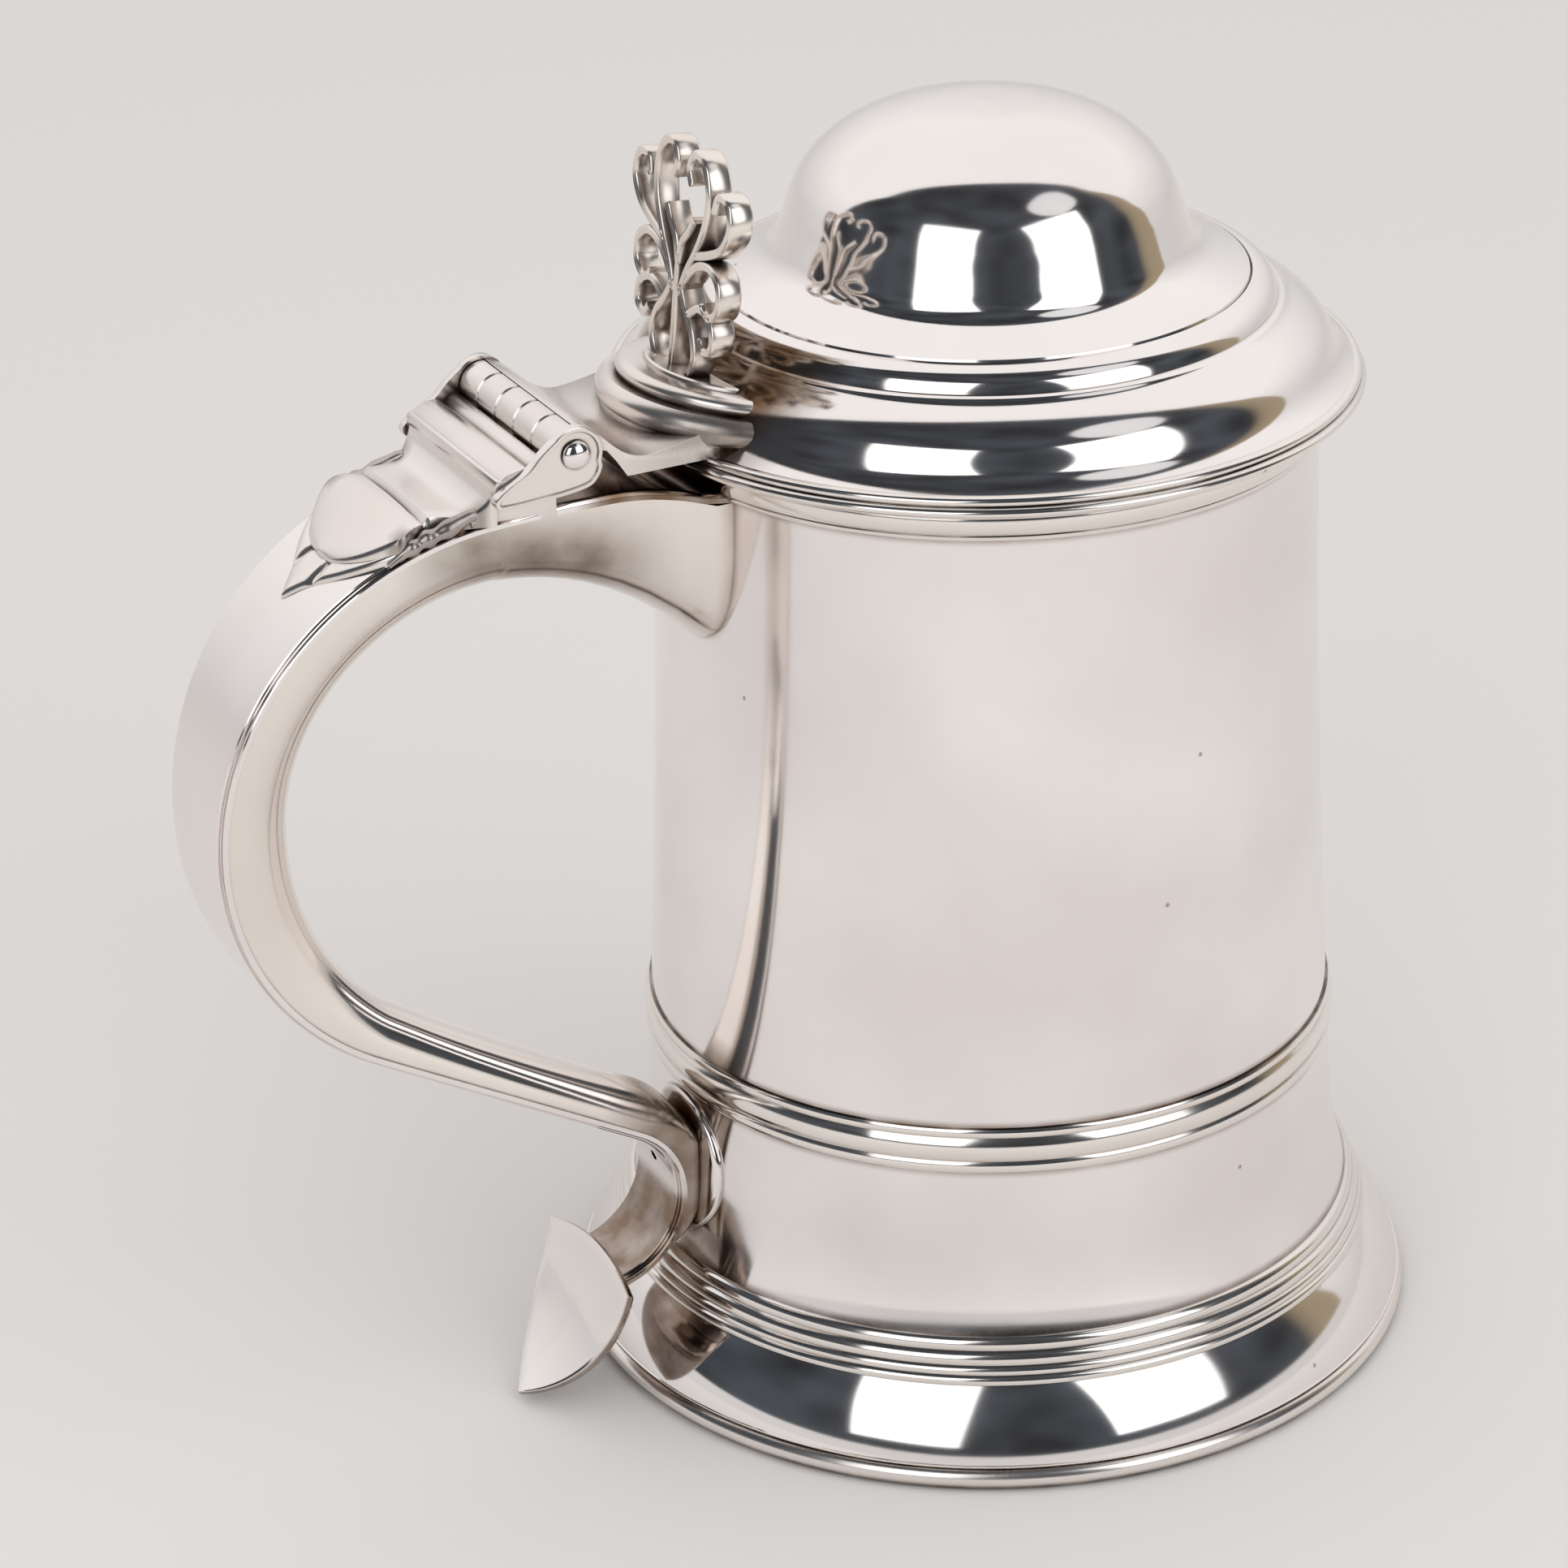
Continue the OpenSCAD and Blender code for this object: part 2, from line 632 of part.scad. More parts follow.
module handle_terminal() {
    side_r = (shield_w * shield_w + shield_l * shield_l) / (2 * shield_w);
    half = asin(shield_l / side_r);
    right = arc([0, shield_w - side_r], side_r, 90, 90 - half);
    left = arc([0, side_r - shield_w], side_r, half - 90, -90);
    brow = bulge([0, -shield_w], [0, shield_w], -2.2);
    color("silver") at_shield() intersection() {
        translate([0, 0, -shield_sag]) linear_extrude(3 * shield_sag) polygon(concat(brow, right, left));
        difference() {
            shield_sheet(shield_t);
            shield_sheet(0);
        }
    }
}

// Moulded drop on the strap, a pointed apron round the tongue's end
module handle_drop() {
    drop_t = 1.4;
    end_r = tongue_r + tongue_end_r;
    half = [[end_r - 7, 12.8], [end_r - 2.6, 9.4], [end_r + 0.6, 5.4], [end_r + 2.4, 2.2], [end_r + 4.2, 0]];
    color("gainsboro") difference() {
        intersection() {
            across(handle_w_top) difference() {
                translate(bow) circle(bow_r + drop_t);
                translate(bow) circle(bow_r);
            }
            linear_extrude(2 * drum_h)
                polygon(concat([for (p = half) [-p[0], p[1]]], [for (p = flip(half)) [-p[0], -p[1]]]));
            translate([-2 * handle_reach, -handle_w_top, bow[1]]) cube(2 * handle_reach);
        }
        tongue_plan(solder);
    }
}

// Plinth and thumbpiece

// The tiers, from half the leaf's thickness up
module plinth_body() {
    t = plinth_tiers;
    skirt_d = 4;
    z2 = t[0][1] + t[1][1];
    outline = concat([[0, -skirt_d], [t[0][0] - 1, -skirt_d]],
                     bulge([t[0][0] - 1, 0], [t[0][0] - 1.2, t[0][1]], 1),
                     bulge([t[1][0] - 0.8, t[0][1]], [t[1][0] - 1.4, z2], 0.8),
                     [[t[2][0], z2], [t[2][0], z2 + t[2][1]], [0, z2 + t[2][1]]]);
    intersection() {
        translate([-plinth_at[0], 0, plinth_at[1]]) rotate([0, plinth_lean, 0])
            rotate_extrude() polygon(outline);
        translate([-hinge_r, -lid_r, leaf_z + leaf_t / 2]) cube([hinge_r, 2 * lid_r, lid_h]);
    }
}

module thumb_plinth() {
    color("lightgray") difference() {
        plinth_body();
        lid_solid();
        leaf_plate();
    }
}

module thumbpiece() {
    base_w = 0.52 * thumb_w;
    base_h = 0.05 * thumb_h;
    color("silver") difference() {
        translate([-thumb_r, 0, thumb_z]) rotate([0, thumb_lean, 0]) facing(0, thumb_t) {
            for (s = [-1, 1], c = scrolls)
                polygon(strip(curve([for (p = c) [s * p[0] * thumb_w, p[1] * thumb_h]]), strip_w));
            translate([-base_w, -base_h]) square([2 * base_w, 2 * base_h]);
            translate([-strip_w / 2, 0]) square([strip_w, 0.5 * thumb_h]);
        }
        lid_solid();
        plinth_body();
    }
}

body_barrel();
body_bottom();
rim_moulding();
girdle_band();
foot_collar();
foot_skirt();
foot_rim_wire();
handle_shell();
handle_strap();
handle_terminal();
lower_mount_plate();
hinge_plate();
hinge_cheeks();
handle_drop();
hinge_pin();
pin_heads();
lid_cover();
lid_rim();
lid_bezel();
lid_leaf();
thumb_plinth();
thumbpiece();
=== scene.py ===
# Lidded silver tankard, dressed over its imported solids.
# Sizes are written in millimetres and scaled by MM. The foot rests on z = 0, the drum's axis is Z and the
# handle points along -X. Turned pieces and the handle's plane are drawn as (r, z), with r the distance
# from that axis.
import math

import bpy
from mathutils import Matrix, Vector


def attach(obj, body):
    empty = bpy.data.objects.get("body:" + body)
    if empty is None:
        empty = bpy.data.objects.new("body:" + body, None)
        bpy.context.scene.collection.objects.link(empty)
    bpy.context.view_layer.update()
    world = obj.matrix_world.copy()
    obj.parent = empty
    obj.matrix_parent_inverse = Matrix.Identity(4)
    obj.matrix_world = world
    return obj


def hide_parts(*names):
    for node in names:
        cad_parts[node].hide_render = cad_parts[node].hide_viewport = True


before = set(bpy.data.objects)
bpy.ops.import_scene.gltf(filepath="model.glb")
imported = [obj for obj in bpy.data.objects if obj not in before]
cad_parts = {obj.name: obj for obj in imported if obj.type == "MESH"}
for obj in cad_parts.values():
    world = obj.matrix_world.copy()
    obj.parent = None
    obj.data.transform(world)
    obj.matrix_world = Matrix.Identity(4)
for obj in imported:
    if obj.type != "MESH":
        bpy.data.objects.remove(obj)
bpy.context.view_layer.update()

MM = 0.001
# Steps of a full turn, and the distance in metres under which points merge
TURN = 192
MERGE = 0.00001

# Drum and foot. The drum's taper grows from the mouth down to the belt, which is given as (r, z)
MOUTH_Z = 147.8
MOUTH_R = 47.8
MOUTH_TAPER = 0.010298
TAPER_GAIN = 0.00022926
BELT = (51, 50)
BELT_TAPER = 0.0551
FLARE_Z = 33
FLARE_OUT = 1.83
WALL = 0.9
LIP_Z = 142.6
GIRDLE = (46.2, 53)
FOOT_H = 20.9
FOOT_R = 63.7
COLLAR_LOW = (57.54, 14.4)
COLLAR_TOP = (54.64, 20.9)
COLLAR_T = 0.8
WIRE_H = 3.5

# Lid
SEAT = 147.95
LID_R = 54.4
LID_H = 41
RIM_H = 2.95
EDGE_R = 52.6
COVER_LOW = SEAT + 1.05
BAND_Z = 163.8

# Handle: flat top, one large bow, a straight run to the drum and the curl of the tail
STRAP_Z = 147.4
STRAP_T = 1.4
TOP_W = 26
RUN_W = 15
BOW = (80.45, 103.85)
BOW_R = 43.55
RUN_A = -60
RUN_START = (102.2, 66.1)
RUN_END = (62.3, 43.1)
RUN_INTO = (-math.cos(math.radians(RUN_A)), -math.sin(math.radians(RUN_A)))
CURL = (68.3, 32.7)
TAIL_R = 12
VENT_R = 0.8
HANDLE_DEPTH = 12.6
ROOT_R = 48.8
ROOT_FLARE = 15.4
ROOT_DROP = 3.9
DROP_START = 66
DROP_END = 49
MOUNT_Z = 34.3

# Hinge
HINGE = (71.7, 155.9)
KNUCKLE_R = 3.3
KNUCKLE_L = 6
KNUCKLE_HALF = KNUCKLE_L / 2 - 0.06
BORE_R = 1.25
HINGE_W = 30
CHEEK_T = 1.6
TONGUE_R = 88
TONGUE_END = 15.2

# Plinth and thumbpiece
PLINTH = (40.2, 150.6)
THUMB = (46.2, 158.5)
THUMB_H = 32.5
THUMB_W = 16.4
THUMB_T = 3.6
STRIP_W = 1.4

# Camera, and the middle of the tankard, in metres
CAMERA_AT = (-0.3317, -0.5984, 0.4098)
CAMERA_AZ = math.degrees(math.atan2(CAMERA_AT[1], CAMERA_AT[0]))
MIDDLE = Vector((0, 0, 0.09))


# Outlines

def mix(a, b, t):
    return a + (b - a) * t


def limit(value):
    """The value kept between 0 and 1."""
    return min(1, max(0, value))


def ramp(value, start, end):
    """How far a value has gone from start to end: 0 before start and 1 past end."""
    return limit((value - start) / (end - start))


def between(p, q, t):
    return tuple(mix(a, b, t) for a, b in zip(p, q))


def arc(centre, r, a0, a1, n=12):
    """Points of an arc about a centre, in degrees."""
    turns = [math.radians(mix(a0, a1, i / n)) for i in range(n + 1)]
    return [(centre[0] + r * math.cos(a), centre[1] + r * math.sin(a)) for a in turns]


def bulge(p, q, s, n=12):
    """Points from p to q that stand out by s at the middle."""
    length = math.dist(p, q)
    out = ((q[1] - p[1]) * s / length, (p[0] - q[0]) * s / length)
    points = []
    for i in range(n + 1):
        t = i / n
        at = between(p, q, t)
        rise = 4 * t * (1 - t)
        points.append((at[0] + out[0] * rise, at[1] + out[1] * rise))
    return points


def reeds(p, q, shares, s, n=10):
    """Points from p to q over round reeds of the given shares, of which the widest stands out by s."""
    points = [p]
    start = 0
    for share in shares:
        end = start + share / sum(shares)
        reed = bulge(between(p, q, start), between(p, q, end), s * share / max(shares), n)
        points += reed[1:]
        start = end
    return points


def cyma(p, hold_p, slope_p, q, hold_q, slope_q, n=28):
    """Points of an S-curve up and inward from p to q that holds each end's slope for a while."""
    a = math.radians(slope_p)
    b = math.radians(slope_q)
    p1 = (p[0] - hold_p * math.cos(a), p[1] + hold_p * math.sin(a))
    q1 = (q[0] + hold_q * math.cos(b), q[1] - hold_q * math.sin(b))
    points = []
    for i in range(n + 1):
        t = i / n
        first = between(between(p, p1, t), between(p1, q1, t), t)
        last = between(between(p1, q1, t), between(q1, q, t), t)
        points.append(between(first, last, t))
    return points


def passing(a, b, c, d, t):
    """Value between b and c of a smooth curve through four values."""
    square = (2 * a - 5 * b + 4 * c - d) * t ** 2
    cube = (3 * b - a - 3 * c + d) * t ** 3
    return 0.5 * (2 * b + (c - a) * t + square + cube)


def curve(points, n=8):
    """A smooth curve through the points, in n steps from each to the next."""
    last = len(points) - 1
    smooth = []
    for i in range(last):
        rows = list(zip(points[max(i - 1, 0)], points[i], points[i + 1], points[min(i + 2, last)]))
        for k in range(n):
            smooth.append(tuple(passing(*row, k / n) for row in rows))
    smooth.append(tuple(points[last]))
    return smooth


def across(line, i):
    """Unit direction across an open line at its point i, to the left of the way along it."""
    ahead = line[min(i + 1, len(line) - 1)]
    behind = line[max(i - 1, 0)]
    length = math.dist(ahead, behind)
    return (behind[1] - ahead[1]) / length, (ahead[0] - behind[0]) / length


def moved(points, by):
    return [(by[0] + p[0], by[1] + p[1]) for p in points]


def inset(outline, by):
    """A closed outline, counterclockwise, drawn in by a distance."""
    points = []
    for i, (r, z) in enumerate(outline):
        ahead = outline[(i + 1) % len(outline)]
        behind = outline[i - 1]
        share = by / math.dist(ahead, behind)
        points.append((r - (ahead[1] - behind[1]) * share, z + (ahead[0] - behind[0]) * share))
    return points


def drum_r(z):
    """Outer radius of the drum: its taper grows down to the belt, then stays, and it flares over the foot."""
    if z >= BELT[1]:
        down = MOUTH_Z - z
        return MOUTH_R + MOUTH_TAPER * down + TAPER_GAIN * down ** 2
    flare = max(0, (z - FLARE_Z) / (FOOT_H - FLARE_Z))
    return BELT[0] + BELT_TAPER * (BELT[1] - z) + FLARE_OUT * flare ** 2


def drum_x(y, z, rise=0):
    """Place along X of the drum's surface on the handle's side, or of one that stands off it by a rise."""
    return -math.sqrt((drum_r(z) + rise) ** 2 - y ** 2)


def back_z(r):
    """Height of the handle's back over its bow and its flat top, which drops to the drum under the lip."""
    if r < BOW[0]:
        return STRAP_Z - ROOT_DROP * ramp(r, DROP_START, DROP_END) ** 2
    return BOW[1] + math.sqrt(max(0, BOW_R ** 2 - (r - BOW[0]) ** 2))


# Shaping

def pick(*pieces):
    """Selects these pieces alone, the last one active."""
    bpy.ops.object.select_all(action="DESELECT")
    for piece in pieces:
        piece.select_set(True)
        bpy.context.view_layer.objects.active = piece


def close_up():
    """In edit mode: merges seams and poles, caps open ends and turns the faces outward."""
    bpy.ops.mesh.select_all(action="SELECT")
    bpy.ops.mesh.remove_doubles(threshold=MERGE)
    bpy.ops.mesh.delete_loose()
    bpy.ops.mesh.select_all(action="SELECT")
    bpy.ops.mesh.fill_holes(sides=0)
    bpy.ops.mesh.normals_make_consistent(inside=False)


def lay(name, points):
    """Names the new primitive and lays its vertices on points in millimetres."""
    piece = bpy.context.object
    piece.name = name
    for vertex, point in zip(piece.data.vertices, points):
        vertex.co = [MM * value for value in point]
    return piece


def wire(name, points):
    """A closed wire through points, from a circle with a vertex for each."""
    pick()
    bpy.ops.mesh.primitive_circle_add(vertices=len(points), radius=MM)
    return lay(name, points)


def lathe(name, outline):
    """Turns an outline of (r, z) about the drum's axis."""
    piece = wire(name, [(r, 0, z) for r, z in outline])
    bpy.ops.object.mode_set(mode="EDIT")
    bpy.ops.mesh.select_all(action="SELECT")
    bpy.ops.mesh.spin(steps=TURN, angle=math.tau, center=(0, 0, 0), axis=(0, 0, 1))
    close_up()
    bpy.ops.object.mode_set(mode="OBJECT")
    return piece


def skin(name, rings, closed=True):
    """A skin over rings of equally many points; closed rings join at a seam and get end caps."""
    rows = [list(ring) + [ring[0]] if closed else list(ring) for ring in rings]
    pick()
    bpy.ops.mesh.primitive_grid_add(x_subdivisions=len(rows[0]) - 1, y_subdivisions=len(rows) - 1, size=MM)
    piece = lay(name, [point for row in rows for point in row])
    if closed:
        bpy.ops.object.mode_set(mode="EDIT")
        close_up()
        bpy.ops.object.mode_set(mode="OBJECT")
    return piece


def soften(piece, width):
    """Rounds a piece's sharp edges."""
    pick(piece)
    edge = piece.modifiers.new("edge", "BEVEL")
    edge.width = width * MM
    edge.segments = 2
    edge.limit_method = "ANGLE"
    edge.angle_limit = math.radians(40)
    bpy.ops.object.modifier_apply(modifier=edge.name)


def bar(name, outline, y0, y1, width):
    """An outline of the handle's plane made into a bar from y0 to y1, its edges softened by a width."""
    piece = wire(name, [(-r, y0, z) for r, z in outline])
    bpy.ops.object.mode_set(mode="EDIT")
    bpy.ops.mesh.select_all(action="SELECT")
    bpy.ops.mesh.edge_face_add()
    move = {"value": (0, (y1 - y0) * MM, 0)}
    bpy.ops.mesh.extrude_region_move(TRANSFORM_OT_translate=move)
    close_up()
    bpy.ops.object.mode_set(mode="OBJECT")
    soften(piece, width)
    return piece


def set_down(piece, matrix):
    """Moves a piece that was shaped at the origin, and keeps its object there."""
    pick(piece)
    piece.matrix_basis = matrix
    bpy.ops.object.transform_apply(location=True, rotation=True, scale=True)


def rotated(axis, degrees):
    return Matrix.Rotation(math.radians(degrees), 4, axis)


def place(r, y, z, axis, degrees):
    """A turn about an axis and then a move, which takes the origin to r, y and z."""
    return Matrix.Translation(Vector((-r, y, z)) * MM) @ rotated(axis, degrees)


def cut(piece, tool):
    """Cuts a tool out of a piece and removes the tool."""
    pick(piece)
    boolean = piece.modifiers.new("cut", "BOOLEAN")
    boolean.operation = "DIFFERENCE"
    boolean.solver = "EXACT"
    boolean.object = tool
    bpy.ops.object.modifier_apply(modifier=boolean.name)
    bpy.data.objects.remove(tool, do_unlink=True)


def join(name, pieces):
    pick(*reversed(pieces))
    bpy.ops.object.join()
    pieces[0].name = name
    return pieces[0]


def mirrored(piece):
    """A copy of a piece on the handle's other side, with its own mesh."""
    pick(piece)
    bpy.ops.object.duplicate()
    twin = bpy.context.object
    set_down(twin, Matrix.Scale(-1, 4, (0, 1, 0)))
    bpy.ops.object.mode_set(mode="EDIT")
    bpy.ops.mesh.select_all(action="SELECT")
    bpy.ops.mesh.normals_make_consistent(inside=False)
    bpy.ops.object.mode_set(mode="OBJECT")
    return twin


# Materials

def linear(text):
    """An sRGB hex colour as linear values."""
    values = [int(text[i:i + 2], 16) / 255 for i in (1, 3, 5)]
    return [v / 12.92 if v <= 0.04045 else ((v + 0.055) / 1.055) ** 2.4 for v in values] + [1]


def blank(name):
    """A new material without nodes."""
    material = bpy.data.materials.new(name)
    material.use_nodes = True
    material.node_tree.nodes.clear()
    return material


def add(tree, kind, inputs=None, **settings):
    """Adds a node with its settings, and sets or links its inputs."""
    node = tree.nodes.new("ShaderNode" + kind)
    for key, value in settings.items():
        setattr(node, key, value)
    for key, value in (inputs or {}).items():
        if isinstance(value, bpy.types.NodeSocket):
            tree.links.new(value, node.inputs[key])
        else:
            node.inputs[key].default_value = value
    return node


def per_metre(millimetres):
    """Scale of a pattern on Object coordinates whose features are that wide."""
    return 1 / (millimetres * MM)


def sterling(name, bright, patina_and_shade_brown, smooth, dull, hollows, reach, waves):
    """Sterling silver: bright and the brown colour are its colours, the brown being that of its patina and of
    the painted shade marked on each piece, smooth and dull the roughness where it is well rubbed and where it
    isn't, hollows how open a corner is where brown begins to gather and where it is thickest, reach how far
    out of a corner it goes, and waves the depth of the hammer's waves."""
    material = blank(name)
    tree = material.node_tree
    where = add(tree, "TexCoord").outputs["Object"]

    # Brown film where a cloth doesn't reach, together with the patina and painted shade marked on each piece,
    # broken up by patches a few millimetres wide
    corner = add(tree, "AmbientOcclusion", {"Distance": reach * MM}, samples=12)
    patch = add(tree, "TexNoise", {"Vector": where, "Scale": per_metre(6), "Detail": 4})
    depth = add(tree, "MapRange", {"Value": corner.outputs["AO"],
                                   "From Min": hollows[0], "From Max": hollows[1]})
    # Marks each piece carries: painted shade, and patina on some pieces
    marked = add(tree, "Attribute", attribute_name="patina_and_shade")
    patina_and_marked_shade = add(tree, "Math", {0: depth.outputs[0], 1: marked.outputs["Fac"]}, operation="MAXIMUM")
    broken = add(tree, "MapRange", {"Value": patch.outputs[0], "From Min": 0.3, "From Max": 0.62,
                                    "To Min": 0.65, "To Max": 0.95})
    film_and_shade = add(tree, "Math", {0: patina_and_marked_shade.outputs[0], 1: broken.outputs[0]}, operation="MULTIPLY")

    # A pit here and there, about 0.8 mm wide
    near = add(tree, "TexVoronoi", {"Vector": where, "Scale": per_metre(14)})
    pit = add(tree, "MapRange", {"Value": near.outputs["Distance"], "From Min": 0.032, "From Max": 0.018,
                                 "To Min": 0, "To Max": 0.6})
    brown = add(tree, "Math", {0: film_and_shade.outputs[0], 1: pit.outputs[0]}, operation="MAXIMUM")

    # Warm and cool clouds of old polish, about 40 mm wide
    cloud = add(tree, "TexNoise", {"Vector": where, "Scale": per_metre(40), "Detail": 3})
    clouded = add(tree, "MapRange", {"Value": cloud.outputs[0], "From Min": 0.35, "From Max": 0.65})
    tint = add(tree, "Mix", {"Factor": clouded.outputs[0], "A": linear(bright[0]), "B": linear(bright[1])},
               data_type="RGBA")
    colour = add(tree, "Mix", {"Factor": brown.outputs[0], "A": tint.outputs["Result"], "B": linear(patina_and_shade_brown)},
                 data_type="RGBA")

    # Rubbing marks, drawn 0.7 mm wide so that they show
    rub = add(tree, "TexNoise", {"Vector": where, "Scale": per_metre(0.7), "Detail": 2})
    worn = add(tree, "Math", {0: rub.outputs[0], 1: film_and_shade.outputs[0], 2: cloud.outputs[0]},
               operation="MULTIPLY_ADD")
    polish = add(tree, "MapRange", {"Value": worn.outputs[0], "From Min": 0.35, "From Max": 1.1,
                                    "To Min": smooth, "To Max": dull})

    # Shallow waves of the hammer under the polish, about 14 mm wide
    hammer = add(tree, "TexNoise", {"Vector": where, "Scale": per_metre(14), "Detail": 1})
    bump = add(tree, "Bump", {"Height": hammer.outputs[0], "Strength": 1, "Distance": waves * MM})

    shader = add(tree, "BsdfPrincipled", {"Base Color": colour.outputs["Result"], "Metallic": 1,
                                          "Roughness": polish.outputs[0], "Normal": bump.outputs[0]})
    add(tree, "OutputMaterial", {"Surface": shader.outputs[0]})
    return material


# Raised and spun sheet, buffed by hand: nearly a mirror, with soft waves left by the hammer
POLISHED = sterling("polished_sterling_sheet", bright=("#F7F3F1", "#F0EAE8"), patina_and_shade_brown="#72573C",
                    smooth=0.07, dull=0.16, hollows=(0.85, 0.4), reach=4, waves=0.03)
# The drum's sheet, cleaned more often than buffed: a softer gleam with clouds
SATIN = sterling("cleaned_sterling_sheet", bright=("#F7F3F1", "#ECE6E5"), patina_and_shade_brown="#72573C",
                 smooth=0.08, dull=0.18, hollows=(0.85, 0.4), reach=2.5, waves=0.02)
# The handle's sheet, hard to reach inside the bow: brown film toward the drum, and painted shade where its
# lower end meets the plate
WORN = sterling("handled_sterling_sheet", bright=("#F6F0EA", "#EDE5DF"), patina_and_shade_brown="#695137",
                smooth=0.1, dull=0.24, hollows=(0.8, 0.35), reach=6, waves=0.04)
# Drawn reeded wire soldered on: bright crests and brown grooves
REEDED = sterling("drawn_sterling_wire", bright=("#F3EEE9", "#EAE4DF"), patina_and_shade_brown="#4D3A27",
                  smooth=0.1, dull=0.24, hollows=(0.88, 0.6), reach=2.4, waves=0.01)
# Sand-cast and chased pieces: softer, warm tarnish in every hollow
CAST = sterling("cast_sterling", bright=("#F3EDE9", "#EAE2DD"), patina_and_shade_brown="#56432E",
                smooth=0.2, dull=0.36, hollows=(0.8, 0.42), reach=2.8, waves=0.03)
# The pierced casting, brown between its strips and rubbed bright on their edges
PIERCED = sterling("pierced_cast_sterling", bright=("#F4EDE6", "#EBE2DA"), patina_and_shade_brown="#54443A",
                   smooth=0.2, dull=0.36, hollows=(0.8, 0.3), reach=5, waves=0.02)


def mark(piece, rule, name="patina_and_shade"):
    """Marks a piece's points, by default for brown patina and painted shade: rule gives 0 to 1 for a point in
    millimetres.
    """
    marks = piece.data.attributes.new(name, "FLOAT", "POINT")
    for value, vertex in zip(marks.data, piece.data.vertices):
        value.value = limit(rule(*(vertex.co / MM)))


def hand_over(piece, material, body, *nodes, angle=32):
    """Gives a finished piece its shading, material, body and the nodes that it stands for."""
    pick(piece)
    bpy.ops.object.shade_smooth_by_angle(angle=math.radians(angle))
    piece.data.materials.clear()
    piece.data.materials.append(material)
    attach(piece, body)
    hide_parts(*nodes)


# Drum

def drum_patina_and_shade(x, y, z):
    """Patina and painted shade: brown lines beside the collar, the girdle and the lip, which fade within a
    millimetre.
    """
    lines = [(FOOT_H, 0.8), (GIRDLE[0], 0.6), (GIRDLE[1], 0.8), (LIP_Z, 0.7)]
    return max(strength * ramp(abs(z - line), 1.08, 0.18) for line, strength in lines)


def make_drum():
    """Tapered wall with a rounded edge at the mouth, and close rows of points at the brown lines of patina
    and painted shade.
    """
    half = WALL / 2
    top = MOUTH_Z - half
    rows = 60
    plain = [mix(FOOT_H, top, i / rows) for i in range(rows + 1)]
    lines = (FOOT_H + 1.6,) + GIRDLE + (LIP_Z,)
    close = [line + 0.3 * k for line in lines for k in range(-5, 6)]
    outer = [(drum_r(z), z) for z in sorted(plain + close)]
    edge = arc((drum_r(MOUTH_Z) - half, top), half, 15, 165, 8)
    inner = [(drum_r(z) - WALL, z) for z in reversed(plain)]
    drum = lathe("drum", outer + edge + inner)
    mark(drum, drum_patina_and_shade)
    hand_over(drum, SATIN, "tankard", "body_barrel")


def make_drum_bottom():
    """Disc inside the drum, raised above the foot."""
    low = 25.2
    top = 26.2
    under = bulge((0, low + 0.3), (drum_r(low) - WALL - 0.24, low), 0.1)
    over = bulge((drum_r(top) - WALL - 0.05, top), (0, top), 0.05)
    hand_over(lathe("drum_bottom", under + over), SATIN, "tankard", "body_bottom")


def make_lip():
    """A fillet and a swell round the mouth, just under the lid."""
    low = LIP_Z
    fillet_r = drum_r(low) + 0.88
    root = [(drum_r(low) - 0.3, low), (fillet_r - 0.2, low)]
    fillet = bulge((fillet_r - 0.1, low), (fillet_r, low + 0.9), 0.15, 6)
    swell = bulge((49.34, low + 1.1), (48.9, MOUTH_Z), 0.88, 16)
    back = [(MOUTH_R - 0.2, MOUTH_Z - 0.02)]
    hand_over(lathe("lip_moulding", root + fillet + swell + back), REEDED, "tankard", "rim_moulding")


def make_girdle():
    """Three reeds round the lower third of the drum, the middle one the widest."""
    low, top = GIRDLE
    rise = 0.36
    root = 0.3
    side = reeds((drum_r(low) + rise, low), (drum_r(top) + rise, top), [2.6, 5.4, 1.9], 0.6)
    outline = [(drum_r(low) - root, low)] + side + [(drum_r(top) - root, top)]
    hand_over(lathe("girdle", outline), REEDED, "tankard", "girdle_band")


# Foot

def collar_back():
    """Inner line of the collar, from its lower edge up, on which the skirt's top lies."""
    return [(r - COLLAR_T, z) for r, z in (COLLAR_LOW, COLLAR_TOP)]


def make_foot_collar():
    """Four reeds where drum and foot meet."""
    side = reeds(COLLAR_LOW, COLLAR_TOP, [2, 2, 3, 3], 0.4)
    hand_over(lathe("foot_collar", side + collar_back()[::-1]), REEDED, "tankard", "foot_collar")


def make_foot_skirt():
    """Spreading sheet from the wire to the collar, with a fillet along its lower edge."""
    thick = 1.08
    low = (FOOT_R - 1.3, WIRE_H)
    fillet = (FOOT_R - 0.7, WIRE_H + 0.6)
    under_collar = (COLLAR_LOW[0] - 0.2, COLLAR_LOW[1])
    spread = bulge((fillet[0] - 0.2, fillet[1] + 0.05), under_collar, 0.6, 24)
    outer = bulge(low, fillet, 0.2, 6) + spread + collar_back()
    inner = [(r - thick, z - 0.3) for r, z in reversed(outer[1:])] + [(low[0] - thick, low[1])]
    hand_over(lathe("foot_skirt", outer + inner), POLISHED, "tankard", "foot_skirt")


def make_foot_wire():
    """Wire along the rest edge, round on its outside."""
    half = WIRE_H / 2
    inner = FOOT_R - 3.9
    outline = arc((FOOT_R - half, half), half, -90, 90, 16) + [(inner, WIRE_H), (inner, 0)]
    hand_over(lathe("foot_wire", outline), CAST, "tankard", "foot_rim_wire")


# Lid

def on_lid(r_share, z_share):
    """A point of the lid's outline by its shares of the lid's radius and height."""
    return r_share * LID_R, SEAT + z_share * LID_H


